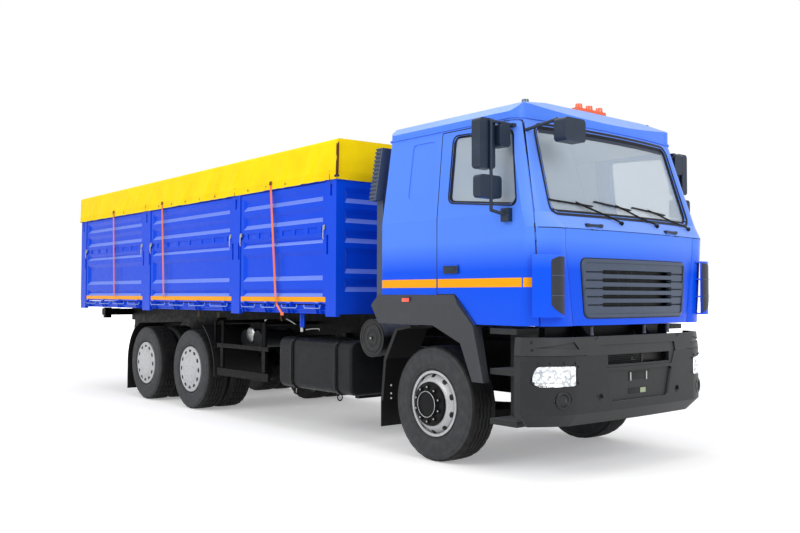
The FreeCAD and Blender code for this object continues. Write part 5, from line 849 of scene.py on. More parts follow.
def cover_section(share):
    """Half of the cover's section from the hem at 0 to the ridge at 1, with a soft eaves corner."""
    if share < 0.25:
        return COVER_HALF - 12 * share * 4, COVER_LOW + (COVER_EAVES - COVER_LOW - 30) * share * 4
    if share < 0.35:
        angle = (share - 0.25) * 10 * math.pi / 2
        return COVER_HALF - 12 - 30 * (1 - math.cos(angle)), COVER_EAVES - 30 + 30 * math.sin(angle)
    inward = (share - 0.35) / 0.65
    return (COVER_HALF - 42) * (1 - inward), COVER_EAVES + (COVER_RIDGE - COVER_EAVES) * inward


def cloth_folds(spot):
    """How far the cloth stands out at a place, in millimetres: slanted folds and a pull at each strap."""
    x, y, z = spot
    depth = max(0.0, min(1.0, (COVER_EAVES - z) / 380))
    slant = noise.noise(Vector(((x - 0.75 * z) / 105, (x + z) / 800, y / 900)))
    pucker = noise.noise(Vector((x / 90, y / 90, z / 60)))
    sag = noise.noise(Vector((x / 700, y / 500, z / 500)))
    pull = 0.0
    for top, _ in STRAPS:
        near = abs(x - top)
        pull += math.exp(-(near / 260) ** 2) * math.sin(near / 21) - math.exp(-(near / 34) ** 2)
    return (FOLD_MM * slant * (0.35 + 0.65 * depth) + PUCKER_MM * pucker + SAG_MM * sag
            + STRAP_PULL_MM * pull * depth * 0.8)


print("half of the section:", [tuple(round(n) for n in cover_section(s)) for s in (0, 0.25, 0.35, 1)])

# %% [markdown]
# The cloth is first laid out smooth: a long sheet bent over the eaves, with an end skirt at each end.
# Then each point moves out along its normal by the fold there. It may hardly move in, because the frame
# is right under it.

# %% The yellow cover
def end_skirt(bm, line, steps=60):
    """Closes one end of the cover, row by row, between its left and right edges."""
    x = line[0].co.x

    def across(left, right):
        if left is right:
            return [left] * (steps + 1)
        return [left] + [bm.verts.new((x, left.co.y + (right.co.y - left.co.y) * s / steps, left.co.z))
                         for s in range(1, steps)] + [right]

    rows = [across(line[k], line[len(line) - 1 - k]) for k in range(len(line) // 2 + 1)]
    for low, high in zip(rows, rows[1:]):
        for s in range(steps):
            corners = []
            for corner in (low[s], low[s + 1], high[s + 1], high[s]):
                if corner not in corners:
                    corners.append(corner)
            if len(corners) > 2:
                bm.faces.new(corners)


def smooth_cover(bm, columns=230, rows=34):
    half = [cover_section(i / rows) for i in range(rows + 1)]
    section = [(-y, z) for y, z in half] + [(y, z) for y, z in reversed(half[:-1])]
    grid = []
    for i in range(columns + 1):
        x = COVER_REAR + (COVER_FRONT - COVER_REAR) * i / columns
        rise = REAR_RISE + (FRONT_RISE - REAR_RISE) * i / columns
        grid.append([bm.verts.new((x, y, z + max(0, z - COVER_LOW) / (COVER_EAVES - COVER_LOW) * rise
                                   * min(1, (COVER_RIDGE + 8 - z) / 40))) for y, z in section])
    for a, b in zip(grid, grid[1:]):
        for k in range(len(section) - 1):
            bm.faces.new((a[k], a[k + 1], b[k + 1], b[k]))
    end_skirt(bm, grid[0])
    end_skirt(bm, grid[-1])


def fold_cover(bm):
    bmesh.ops.recalc_face_normals(bm, faces=bm.faces)
    bm.normal_update()
    moves = []
    for v in bm.verts:
        hem = 4.0 if v.co.z < COVER_LOW + HEM - 6 else 0.0
        on_top = v.co.z > COVER_EAVES - 60
        push = cloth_folds(v.co) * (0.45 if on_top else 1.0) + hem - 3.0
        moves.append(v.normal * max(push, 1.0 if on_top else -1.5))
    for v, move in zip(bm.verts, moves):
        v.co = place(*(v.co + move))


def sew_cover():
    bm = bmesh.new()
    smooth_cover(bm)
    fold_cover(bm)
    area = sum(f.calc_area() for f in bm.faces)
    bmesh.ops.solidify(bm, geom=list(bm.faces), thickness=CLOTH_MM * MM)
    hem_top = (COVER_LOW + HEM - 4) * MM
    cover = finish_piece("stretched_cover", bm, [cover_cloth, hem_cloth], "chassis", 60,
                         lambda f: int(f.calc_center_median().z < hem_top))
    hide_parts("tarpaulin")
    return area


# The hem is two layers, so it is denser: a shade deeper, with a weaker painted glow.
hem_cloth = woven("doubled_yellow_hem", "EED000", "DEB800", 6, 0.0006, 0.5, 0.0, 0.08)
print("cover of %.1f square metres" % sew_cover())

# %% [markdown]
# Orange ratchet straps pull the cover down to hooks under the sill. A brown one closes its front corner,
# and thin cords through brass eyelets hold the hem at the posts. The webbing is matte and a little hairy,
# the irons have the brown tinge of passivated steel, and the eyelets are dull brass.

# %% Straps, buckles, eyelets and ties
brown_web = woven("brown_polyester_webbing", "5A3426", "40241A", 3, 0.0005, 0.75, 0.1)
brown_buckle = bright_metal("brown_passivated_steel", "6A3E1E", 0.4)
brass = bright_metal("dull_brass", "A88A4A", 0.35)


# The straps stand just off the cover. The front one runs on under the sill to a loop and a hook.
STRAP_OUT, STRAP_TOP, STRAP_FOOT, FRONT_STRAP = 1296, 2745, 1425, 2


def loose_end(straps, irons, start, bottom, side):
    add_band(straps, [start, (bottom + 30, side * 1303, 1398), (bottom + 96, side * 1304, 1344),
                      (-2372, side * 1302, 1312)], (0.62, 0, 0.78), 30, 2.4)
    add_box(straps, (-2392, side * 1296, 1282), (-2330, side * 1306, 1318), 8)
    add_bar(irons, [(-2372, side * 1302, 1286), (-2384, side * 1302, 1250), (-2372, side * 1300, 1222),
                    (-2352, side * 1300, 1232)], 5, 8)
    add_bar(irons, [(bottom - 20, side * 1304, 1430), (bottom + 26, side * 1306, 1424)], 6, 8)


def strap_set(side, hand):
    straps, irons = bmesh.new(), bmesh.new()
    out = side * STRAP_OUT
    for number, (top, bottom) in enumerate(STRAPS):
        lean = (bottom - top) / (STRAP_TOP - STRAP_FOOT)
        line = [(top - lean * 25, out - side * 1, 2778)] + [
            (top + lean * (STRAP_TOP - z), out + side * (1 if z > 1500 else 2), z)
            for z in range(2740, 1424, -60)]
        add_band(straps, line, (1, 0, lean), 38, 2.4)
        add_box(irons, (top - 24, out - 3, 2760), (top + 24, out + side * 7, 2802), 4)
        add_bar(irons, [(top - 20, out + side * 8, 2768), (top + 20, out + side * 8, 2768)], 5)
        if number == FRONT_STRAP:
            loose_end(straps, irons, line[-1], bottom, side)
    finish_piece("cover_straps_" + hand, straps, webbing, "chassis")
    finish_piece("strap_irons_" + hand, irons, brown_buckle, "chassis")


def corner_strap(side, hand):
    bm = bmesh.new()
    add_band(bm, [(-1380, side * 1262, 3104), (-1364, side * 1270, 3070), (-1360, side * 1276, 2900),
                  (-1360, side * 1281, 2745)], (1, -side, 0), 30, 3)
    finish_piece("corner_strap_" + hand, bm, brown_web, "chassis")
    bm = bmesh.new()
    add_turned(bm, [(0, -26), (14, -26), (14, -20), (9, -18), (9, 18), (14, 20), (14, 26), (0, 26)],
               (-1354, side * 1289, 2738), (1, 0, 0), 20)
    finish_piece("corner_roller_" + hand, bm, mirror_plastic, "chassis")


def hem_ties(side, hand):
    rings, ties = bmesh.new(), bmesh.new()
    for i in range(18):
        x = -8480 + i * 410
        eyelet = [(9, 4.5), (15, 4.5), (15, 7.5), (9, 7.5)]
        add_turned(rings, eyelet, (x, side * 1287, 2746), (0, side, 0), 20, closed=True)
    for x in (-8516, -6036, -3453, -1471):
        add_bar(ties, [(x - 4, side * 1293, 2806), (x - 2, side * 1298, 2752), (x, side * 1298, 2716),
                       (x + 3, side * 1290, 2672), (x + 3, side * 1286, 2640)], 2.4, 8)
    finish_piece("hem_eyelets_" + hand, rings, brass, "chassis")
    finish_piece("hem_ties_" + hand, ties, brown_web, "chassis")


for side, hand in SIDES:
    strap_set(side, hand)
    corner_strap(side, hand)
    hem_ties(side, hand)
print("straps laid: 6")

# %% [markdown]
# An amber line runs along the foot of each drop side and goes on at the same height across cab and door.
# It is reflective tape, so it is laid on the paint as a thin sheet of its own.

# %% Amber tape
def tape(name, names, body, x_low, x_high, z_low, z_high, side, lift=0.3):
    bm = bmesh.new()
    steps = max(2, int((x_high - x_low) / 24))
    heights = (z_low, (z_low + z_high) / 2, z_high)
    rows = [[(x_low + (x_high - x_low) * i / steps, side * BESIDE, z) for z in heights]
            for i in range(steps + 1)]
    lay_on(bm, names, rows, (0, -side, 0), lift, 1.0)
    return finish_piece(name, bm, reflective_amber, body)


BAYS = ((-8403, -6168), (-5904, -3559), (-3347, -1569))
BODY_TAPE, CAB_TAPE = (1435, 1489), (1578, 1654)
for side, hand in SIDES:
    for n, (start, end) in enumerate(BAYS, 1):
        board = "side_board_%d_%s" % (n, hand)
        tape("amber_tape_%d_%s" % (n, hand), [board], board, start + 10, end - 10, *BODY_TAPE, side)
    tape("cab_tape_" + hand, ["cab_body"], "cab", -676, 126, *CAB_TAPE, side)
    tape("door_tape_" + hand, ["door_" + hand], "door_" + hand, 146, 1238, *CAB_TAPE, side)
print("tapes laid: 10")

# %% [markdown]
# Black rubber frames the windscreen and the door windows. The windscreen has a shade band printed on top.
# A narrow seal shows as a dark line all round each door.

# %% Seals round glass and doors
SCREEN = [(-1000, 2200), (1000, 2200), (950, 2950), (-950, 2950)]
DOOR_WINDOW = [(269, 2335), (1077, 2254), (956, 2899), (258, 2930)]
DOOR_EDGE = [(650, 1257), (1252, 1257), (1252, 2065), (1001, 2982), (100, 2982), (132, 2193), (132, 1517),
             (366, 1517), (632, 1256)]


def rounded(corners, radius, steps=5):
    """The outline through corners given in order, with round corners."""
    points = []
    count = len(corners)
    for i in range(count):
        here, before, after = (Vector(corners[j % count]) for j in (i, i - 1, i + 1))
        back, on = (before - here).normalized(), (after - here).normalized()
        reach = min(radius, (before - here).length / 2, (after - here).length / 2)
        start, end = here + back * reach, here + on * reach
        for k in range(steps + 1):
            t = k / steps
            points.append(tuple((1 - t) ** 2 * start + 2 * t * (1 - t) * here + t ** 2 * end))
    return points


def dense(outline, most=90):
    """The outline with more points on its long runs."""
    points = []
    for i, here in enumerate(outline):
        after = outline[(i + 1) % len(outline)]
        count = max(1, int(math.dist(here, after) / most))
        points += [(here[0] + (after[0] - here[0]) * k / count, here[1] + (after[1] - here[1]) * k / count)
                   for k in range(count)]
    return points


def ring_on(name, names, outline, radius, inner, outer, seat, direction, lift, thickness, material, body):
    """A ring beside an outline, from inner to outer. seat turns the outline's pairs into starting places."""
    middle = dense(rounded(outline, radius, 6))
    bm = bmesh.new()
    rows = []
    for i, here in enumerate(middle):
        along = Vector(middle[(i + 1) % len(middle)]) - Vector(middle[i - 1])
        out = Vector((along.y, -along.x)).normalized()
        rows.append([seat(here[0] + out.x * g, here[1] + out.y * g)
                     for g in (inner, inner + (outer - inner) * 0.3, inner + (outer - inner) * 0.7, outer)])
    lay_on(bm, names, rows, direction, lift, thickness, closed=True)
    return finish_piece(name, bm, material, body, 50)


def from_ahead(y, z):
    return AHEAD, y, z


ring_on("windscreen_seal", ["windscreen", "cab_body"], SCREEN, 80, -22, 27, from_ahead, BACKWARD,
        -2, 9, seal_rubber, "cab")
for side, hand in SIDES:
    door = "door_" + hand
    ring_on("window_seal_" + hand, [door, "door_glass_" + hand], DOOR_WINDOW, 60, -16, 14,
            lambda x, z: (x, side * BESIDE, z), (0, -side, 0), -1, 6, seal_rubber, door)
    ring_on("door_seal_" + hand, [door, "cab_body"], DOOR_EDGE, 26, -4.5, 4.5,
            lambda x, z: (x, side * BESIDE, z), (0, -side, 0), -6, 6.4, seal_rubber, "cab")
shade = bmesh.new()
front_strip(shade, ["windscreen"], [-905 + 1810 * i / 30 for i in range(31)], (2890, 2915, 2940), 0.2, 0.8)
finish_piece("windscreen_shade", shade, mirror_plastic, "cab")
print("seals laid: 6")

# %% [markdown]
# Three wipers park low on the windscreen. Each has a bent arm on a spindle, a claw and a rubber blade.

# %% Wipers
def on_front(y, z, lift, names=("windscreen", "cab_body", "front_panel")):
    """A place on the cab's front, in millimetres, lifted off it."""
    spot = land(names, place(AHEAD, y, z), Vector(BACKWARD))
    x = (spot.x - FRONT_AXLE) / MM if spot is not None else 1250
    return x + lift, y, z


WIPERS = (((-192, 2135), (-694, 2296), (-1003, 2302), (-476, 2273)),
          ((354, 2141), (-178, 2300), (-448, 2318), (51, 2271)),
          ((945, 2145), (306, 2290), (76, 2300), (612, 2262)))
metal_parts, blades = bmesh.new(), bmesh.new()
for pivot, claw, start, end in WIPERS:
    foot = on_front(*pivot, 0)
    add_turned(metal_parts, [(0, -4), (19, -4), (19, 14), (14, 24), (0, 24)], foot, (1, 0, 0.25), 20)
    arm = [on_front(pivot[0] + (claw[0] - pivot[0]) * t, pivot[1] + (claw[1] - pivot[1]) * t, lift)
           for t, lift in ((0, 20), (0.12, 30), (0.4, 34), (0.75, 30), (1, 24))]
    add_band(metal_parts, arm, (0, 0.25, 1), 15, 6)
    spots = [tuple(a + (b - a) * k / 14 for a, b in zip(start, end)) for k in range(15)]
    add_band(metal_parts, [on_front(y, z, 20) for y, z in spots[3:12]], (0, 0.1, 1), 9, 6)
    add_band(blades, [on_front(y, z, 10) for y, z in spots], (1, 0, 0.3), 20, 7)
    for k in (3, 7, 11):
        add_bar(metal_parts, [on_front(*spots[k], 22), on_front(*spots[k], 8)], 5, 8)
finish_piece("wiper_arms", metal_parts, hub_black, "cab")
finish_piece("wiper_blades", blades, seal_rubber, "cab")
print("wipers fitted: 3")

# %% [markdown]
# Two dark grips lift the front flap. Each door has a grip with a key barrel,
# and a red-orange lamp sits in each arch trim.

# %% Grips and side lamps
def flap_grip(y, z):
    bm = bmesh.new()
    ends = [on_front(y + step, z, 2, ("cab_body", "front_panel")) for step in (-82, 82)]
    for x, foot_y, foot_z in ends:
        add_box(bm, (x - 8, foot_y - 20, foot_z - 14), (x + 22, foot_y + 20, foot_z + 14), 5)
    add_band(bm, [(x + 18, bar_y, bar_z) for x, bar_y, bar_z in
                  [on_front(y + step, z, 0, ("cab_body", "front_panel")) for step in (-96, -60, 0, 60, 96)]],
             (0, 0, 1), 20, 12)
    return bm


for number, (y, z) in enumerate(((-585, 2098), (540, 2094)), 1):
    finish_piece("flap_grip_%d" % number, flap_grip(y, z), mirror_plastic, "cab")


def door_grip(side, hand):
    bm = bmesh.new()
    base = land(["door_" + hand], place(300, side * BESIDE, 1733), Vector((0, -side, 0)))
    y = base.y / MM
    add_box(bm, (228, y - side * 1, 1700), (420, y + side * 7, 1768), 6)
    add_band(bm, [(246, y + side * 6, 1738), (262, y + side * 20, 1738), (320, y + side * 24, 1738),
                  (378, y + side * 20, 1738), (396, y + side * 6, 1738)], (0, 0, 1), 30, 9)
    add_turned(bm, [(0, 5), (12, 5), (12, 10), (9, 12), (0, 12)], (410, y, 1714), (0, side, 0), 20)
    return finish_piece("door_grip_" + hand, bm, mirror_plastic, "door_" + hand)


def arch_lamp(side, hand):
    frame_bm, lens_bm = bmesh.new(), bmesh.new()
    base = land(["arch_trims"], place(-260, side * BESIDE, 1466), Vector((0, -side, 0)))
    y = base.y / MM
    add_box(frame_bm, (-322, y - side * 2, 1438), (-198, y + side * 9, 1494), 7)
    add_box(lens_bm, (-310, y + side * 6, 1448), (-210, y + side * 13, 1484), 5)
    finish_piece("arch_lamp_frame_" + hand, frame_bm, mirror_plastic, "cab")
    return finish_piece("arch_lamp_" + hand, lens_bm, amber_red, "cab")


amber_red = coloured_lens("red_orange_acrylic", "F0431C", 0.18)
for side, hand in SIDES:
    door_grip(side, hand)
    arch_lamp(side, hand)
print("grips and side lamps fitted")

# %% [markdown]
# Each drop side is two boards locked together at half height. A back plate closes the lightening slots of
# the joint, zinc-plated locks hold the boards to the posts, and steel loops hang under the sill between
# the hinges. Their blue has worn thin and chalky, so they stand out pale.

# %% Joint plates, locks and sill loops
def board_fittings(side, hand):
    locks, loops = bmesh.new(), bmesh.new()
    for n, (start, end) in enumerate(BAYS, 1):
        plate = bmesh.new()
        add_box(plate, (start + 14, side * 1246, 2130), (end - 14, side * 1256, 2262), 1)
        finish_piece("joint_plate_%d_%s" % (n, hand), plate, blue_enamel_body, "side_board_%d_%s" % (n, hand))
        for x in (start + 24, end - 24):
            add_box(locks, (x - 17, side * 1266, 2196), (x + 17, side * 1279, 2246), 3)
            add_bar(locks, [(x, side * 1279, 2236), (x, side * 1289, 2226), (x, side * 1291, 2110),
                            (x, side * 1283, 2096)], 6, 10)
        step = (end - start) / 4
        for k in range(4):
            a, b = start + step * k + 70, start + step * (k + 1) - 70
            bend = [(0, 1290, 1404), (4, 1291, 1378), (16, 1292, 1368)]
            add_bar(loops, [(a + dx, side * y, z) for dx, y, z in bend]
                    + [(b - dx, side * y, z) for dx, y, z in reversed(bend)], 6, 8)
    finish_piece("board_locks_" + hand, locks, zinc_plate, "chassis")
    finish_piece("sill_loops_" + hand, loops, pale_blue, "chassis")


pale_blue = enamel("worn_pale_blue_steel", "7C98D8", "9AA0AC", 300.0, 0.1, 0.5)
for side, hand in SIDES:
    board_fittings(side, hand)
print("boards fitted: 6")

# %% [markdown]
# Behind the slats of the grille there is a dark backing with three upright stays. A thin dark strip under
# the ends of each slat is painted shadow. A raised frame runs round them all.

# %% Grille
GRILLE_LOW, GRILLE_HIGH, GRILLE_EDGE, SLATS = 1330, 1812, 34, 6
LOW_HALF, HIGH_HALF, SLAT_SHADOW_INNER, SLAT_SHADOW_MARGIN = 709, 757, 516, 12
GRILLE = [(-LOW_HALF, GRILLE_LOW), (LOW_HALF, GRILLE_LOW),
          (HIGH_HALF, GRILLE_HIGH), (-HIGH_HALF, GRILLE_HIGH)]
front_skin = ["front_panel", "grille"]
backing, slat_shadows, stays = bmesh.new(), bmesh.new(), bmesh.new()
rows = [[(1318 - 0.00004 * y * y, y, z) for z in (1352, 1570, 1790)] for y in range(-560, 561, 56)]
for row_a, row_b in zip(rows, rows[1:]):
    for k in range(2):
        corners = [place(*row_a[k]), place(*row_a[k + 1]), place(*row_b[k + 1]), place(*row_b[k])]
        backing.faces.new([backing.verts.new(c) for c in corners])
finish_piece("grille_backing", backing, seal_rubber, "front_flap")
pitch = (GRILLE_HIGH - GRILLE_LOW - 2 * GRILLE_EDGE) / SLATS
for i in range(1, SLATS):
    z = GRILLE_LOW + GRILLE_EDGE + i * pitch
    outer = LOW_HALF + (HIGH_HALF - LOW_HALF) * (z - GRILLE_LOW) / (GRILLE_HIGH - GRILLE_LOW) - SLAT_SHADOW_MARGIN
    # Painted shadow: a thin dark strip under the ends of each slat.
    for edge in (-1, 1):
        spots = [edge * (SLAT_SHADOW_INNER + (outer - SLAT_SHADOW_INNER) * k / 8) for k in range(9)]
        front_strip(slat_shadows, front_skin, spots, (z - 9, z - 1), 0.2, 1.2)
finish_piece("grille_slat_shadows", slat_shadows, seal_rubber, "front_flap")
for y in (-236, -50, 137):
    add_bar(stays, [(1350 - 0.00005 * y * y, y, 1360), (1350 - 0.00005 * y * y, y, 1785)], 3.5, 8)
finish_piece("grille_stays", stays, grille_plastic, "front_flap")
ring_on("grille_frame", front_skin, GRILLE, 55, -24, 7, from_ahead, BACKWARD, 0, 9,
        grille_plastic, "front_flap")
ring_on("grille_shadow_gap", front_skin, GRILLE, 55, 7, 14, from_ahead, BACKWARD, 0.2, 1.5,
        seal_rubber, "front_flap")
print("grille dressed")

# %% [markdown]
# Slate grey guides sit in the mouths of the corner deflectors. They are moulded with two thin fins and
# a curved foot. A dark seam runs across the cab at the belt.

# %% Guides in the deflectors and the belt seam
def deflector_guide(side, hand):
    bm, fins = bmesh.new(), bmesh.new()
    rows = []
    for k in range(25):
        z = 1352 + (1822 - 1352) * k / 24
        low = max(0.0, 1 - (z - 1352) / 96)
        high = max(0.0, 1 - (1822 - z) / 34)
        left = 1156 - 132 * low ** 2 - 68 * high ** 2
        right = 1018
        rows.append([(AHEAD, side * (left + (right - left) * t / 6), z) for t in range(7)])
    lay_on(bm, ["corner_deflectors"], rows, BACKWARD, 0.5, 3)
    for z in (1510, 1670):
        spots = [side * (1154 - 134 * t / 8) for t in range(9)]
        front_strip(fins, ["corner_deflectors"], spots, (z - 4, z + 4), 3.2, 5)
    finish_piece("deflector_guide_" + hand, bm, slate_guide, "cab")
    return finish_piece("deflector_fins_" + hand, fins, grille_plastic, "cab")


slate_guide = grained_plastic("dark_slate_abs", "20252E", "2C323C", 0.45, 2.2, 0.0003)
SEAM, SEAM_CORNER, SEAM_END = (2056, 2063), 930, 1190
seams = bmesh.new()
for side, hand in SIDES:
    deflector_guide(side, hand)
    spots = [side * (SEAM_CORNER + (SEAM_END - SEAM_CORNER) * k / 14) for k in range(15)]
    front_strip(seams, ["cab_body", "front_panel"], spots, SEAM, 0.1, 0.9)
spots = [-SEAM_CORNER + 2 * SEAM_CORNER * k / 40 for k in range(41)]
front_strip(seams, ["cab_body", "front_panel"], spots, SEAM, 0.1, 0.9)
finish_piece("belt_seam", seams, seal_rubber, "cab")
print("deflectors dressed: 2")

# %% [markdown]
# The headlamps are bright: chromed bowls behind a clear pane, with a darker split beside the inner bowl.
# The plated facets are about 26 mm across. Each is painted bright in its middle and grey at its edge, a
# painted reflection, and its bump breaks the room into bright cells. Nothing of this is lit.

# %% Headlamp panes and bowls
LAMP_SKIN = ["headlamps", "front_bumper"]
PANE_INNER, PANE_OUTER, PANE_LOW, PANE_HIGH, LAMP_Z, FACET_MM = 862, 1203, 775, 935, 855, 26


def lamp_chrome():
    material, tree, shader = new_material("chromed_reflector")
    where = add_node(tree, "ShaderNodeTexCoord")
    cells = add_node(tree, "ShaderNodeTexVoronoi", {"feature": "F1"}, Vector=where.outputs["Object"],
                     Scale=1 / (FACET_MM * MM))
    # Painted reflection: each facet's colour runs from bright in its middle to grey at its edge.
    tint = add_node(tree, "ShaderNodeValToRGB", Fac=cells.outputs["Distance"],
                    stops=((0.2, linear("F4F7FA")), (0.9, linear("8E979F"))))
    tree.links.new(tint.outputs["Color"], shader.inputs["Base Color"])
    bump = add_node(tree, "ShaderNodeBump", Strength=0.5, Distance=0.002, Height=cells.outputs["Distance"])
    tree.links.new(bump.outputs[0], shader.inputs["Normal"])
    set_values(shader, Metallic=0.75, Roughness=0.16, Coat_Weight=1.0, Coat_Roughness=0.02)
    return material


def headlamp_glass(side, hand):
    pane, marks = bmesh.new(), bmesh.new()
    rows = []
    for k in range(19):
        y = PANE_INNER + (PANE_OUTER - PANE_INNER) * k / 18
        low = PANE_LOW + max(0.0, (y - 1140) / 63) ** 2 * 22
        high = PANE_HIGH - max(0.0, (y - 1150) / 53) ** 2 * 92
        rows.append([(AHEAD, side * y, low + (high - low) * t / 8) for t in range(9)])
    lay_on(pane, LAMP_SKIN, rows, BACKWARD, 0.3, 1.5)
    finish_piece("headlamp_pane_" + hand, pane, headlamp_chrome, "chassis")
    for y, radius in ((1085, 58), (965, 46)):
        turns = [2 * math.pi * i / 28 for i in range(28)]
        ring = [(y + radius * math.cos(a), LAMP_Z + radius * math.sin(a)) for a in turns]
        for scales, thickness in (((0.93, 1.0), 1.2), ((0.0, 0.18), 1.5)):
            rows = [[(AHEAD, side * (y + (p - y) * s), LAMP_Z + (q - LAMP_Z) * s) for s in scales]
                    for p, q in ring]
            lay_on(marks, LAMP_SKIN, rows, BACKWARD, 2.0, thickness, closed=True)
    front_strip(marks, LAMP_SKIN, (side * 918, side * 923), range(776, 937, 20), 2.0, 1.5)
    finish_piece("headlamp_bowls_" + hand, marks, zinc_plate, "chassis")


headlamp_chrome = lamp_chrome()
for side, hand in SIDES:
    headlamp_glass(side, hand)
print("headlamp panes laid: 2")

# %% [markdown]
# A dark bezel frames each headlamp and is held by screws. The fog lamp below it is small and dark,
# in a round shroud. Both are ABS like the bumper, but smoother, so they read as deeper grey.

# %% Bezels, screws and fog lamps
def on_bumper(y, z, lift=0.0, names=("front_bumper", "headlamps")):
    """A place on the bumper's front, in millimetres, lifted off it."""
    spot = land(names, place(AHEAD, y, z), Vector(BACKWARD))
    return ((spot.x - FRONT_AXLE) / MM if spot is not None else 1300) + lift, y, z


def headlamp_frame(side, hand):
    outline = [(side * 1214, 790), (side * 856, 768), (side * 856, 942), (side * 1172, 942)]
    if side < 0:
        outline.reverse()
    ring_on("headlamp_bezel_" + hand, ["front_bumper"], outline, 40, 4, 30, from_ahead, BACKWARD, 0, 7,
            bumper_dark, "chassis")
    ring_on("headlamp_gap_" + hand, ["front_bumper", "headlamps"], outline, 40, -4, 5, from_ahead, BACKWARD,
            0.3, 2.2, seal_rubber, "chassis")
    screws, fog = bmesh.new(), bmesh.new()
    add_bolts(screws, [on_bumper(side * y, 960, 5) for y in (870, 980, 1090, 1165)] +
              [on_bumper(side * 838, z, 5) for z in (930, 800)], (1, 0, 0), 6, 5)
    spots = [on_bumper(side * 1190, z, 0) for z in (1130, 1069)] + [on_bumper(side * 594, 676, 0)]
    add_bolts(screws, spots, (1, 0, 0), 9, 6)
    finish_piece("bumper_screws_" + hand, screws, lamp_shadow, "chassis")
    centre = on_bumper(side * 985, 662, 0, ("headlamps",))
    add_turned(fog, [(74, 0), (74, 10), (66, 15), (52, 15), (44, 4), (30, 2), (0, 4)], centre,
               (1, side * 0.28, 0), 36)
    finish_piece("fog_lamp_shroud_" + hand, fog, lamp_shadow, "chassis")


bumper_dark = grained_plastic("dark_bezel_abs", "121314", "1C1D1F", 0.4, 2.2, 0.0003)
lamp_shadow = grained_plastic("lamp_housing_abs", "18191B", "26282B", 0.35, 2.2, 0.0002)
for side, hand in SIDES:
    headlamp_frame(side, hand)
print("headlamps framed: 2")

# %% [markdown]
# The bumper's opening has louvres in its right half and a tow hook. A slot for the towing pin, with two
# bright clips, and a lower slot with a pale nylon block sit in the bare plate recess.

# %% Bumper opening and plate recess
pale_nylon = grained_plastic("pale_nylon", "9AA88A", "B4BCA8", 0.5, 3.0, 0.0003)
pale_buffer = grained_plastic("pale_grey_buffer", "A9ADB0", "BCC0C2", 0.5, 3.0, 0.0003)
louvres, clips, slots, pale = bmesh.new(), bmesh.new(), bmesh.new(), bmesh.new()
back = bmesh.new()
add_box(back, (1322, -446, 928), (1328, 446, 1005), 1)
finish_piece("opening_backing", back, seal_rubber, "chassis")
for k in range(5):
    z = 934 + k * 15
    line = [(1382 - 0.00012 * y * y * 0.5, y, z) for y in range(-446, 41, 27)]
    add_band(louvres, line, (0.6, 0, 0.8), 15, 3)
add_box(louvres, (1366, 36, 926), (1388, 52, 1007), 3)
finish_piece("opening_louvres", louvres, bumper_dark, "chassis")
add_bar(clips, [(1376, -81 + 14 * math.cos(a), 962 + 16 * math.sin(a)) for a in
                [2.2 + 4.6 * i / 14 for i in range(15)]], 4.5, 8)
recess_x = on_bumper(0, 800)[0]
add_box(slots, (recess_x - 2, -152, 782), (recess_x + 2.5, 180, 856), 2)
add_box(slots, (recess_x - 2, -155, 660), (recess_x + 2.5, 136, 712), 2)
for y in (-128, 106):
    add_box(clips, (recess_x, y - 9, 776), (recess_x + 9, y + 9, 850), 4)
add_box(pale, (recess_x, 12, 664), (recess_x + 8, 92, 708), 4)
finish_piece("towing_slots", slots, seal_rubber, "chassis")
finish_piece("towing_clips", clips, zinc_plate, "chassis")
finish_piece("towing_block", pale, pale_nylon, "chassis")
print("bumper dressed")

# %% [markdown]
# A dark apron closes the gap between cab and bumper. Black sheets over the cab's front lugs are painted
# shade for the shadow there, and three pale buffers stand under the front panel.

# %% Apron, painted shade on the lugs, and buffers
apron, lug_shadow_sheets, buffers = bmesh.new(), bmesh.new(), bmesh.new()
add_box(apron, (1020, -830, 1136), (1026, 830, 1250), 2)
finish_piece("front_apron", apron, seal_rubber, "chassis")
# Painted shade: black sheets over the front and sides of the cab's lugs.
for y in (-458, 458):
    across = [y + step for step in (-30, -10, 10, 30)]
    front_strip(lug_shadow_sheets, ["cab_body"], across, range(1150, 1259, 12), 0.3, 1.2)
lug_side = [(976, 1256), (1215, 967), (1283, 967), (1283, 1035), (1084, 1256)]
for side in (-1, 1):
    add_prism(lug_shadow_sheets, lug_side, side * 480.7, side * 482, "y")
    add_prism(lug_shadow_sheets, lug_side, side * 435.3, side * 434, "y")
finish_piece("painted_lug_shade", lug_shadow_sheets, hub_black, "cab")
BUFFER = [(0, 0), (17, 0), (20, 6), (14, 22), (14, 62), (18, 74), (0, 78)]
for y in (-390, 385, 765):
    add_turned(buffers, BUFFER, (1178, y, 1166), (0, 0, 1), 24)
finish_piece("cab_buffers", buffers, pale_buffer, "chassis")
print("apron fitted")

# %% [markdown]
# The fuel tank hangs on two black bands, each a narrow one over a wide one, with ring tensioners below.
# The air filter's end is pressed in rings round a wing nut.
# A blue leg and a lever show between tank and guard.

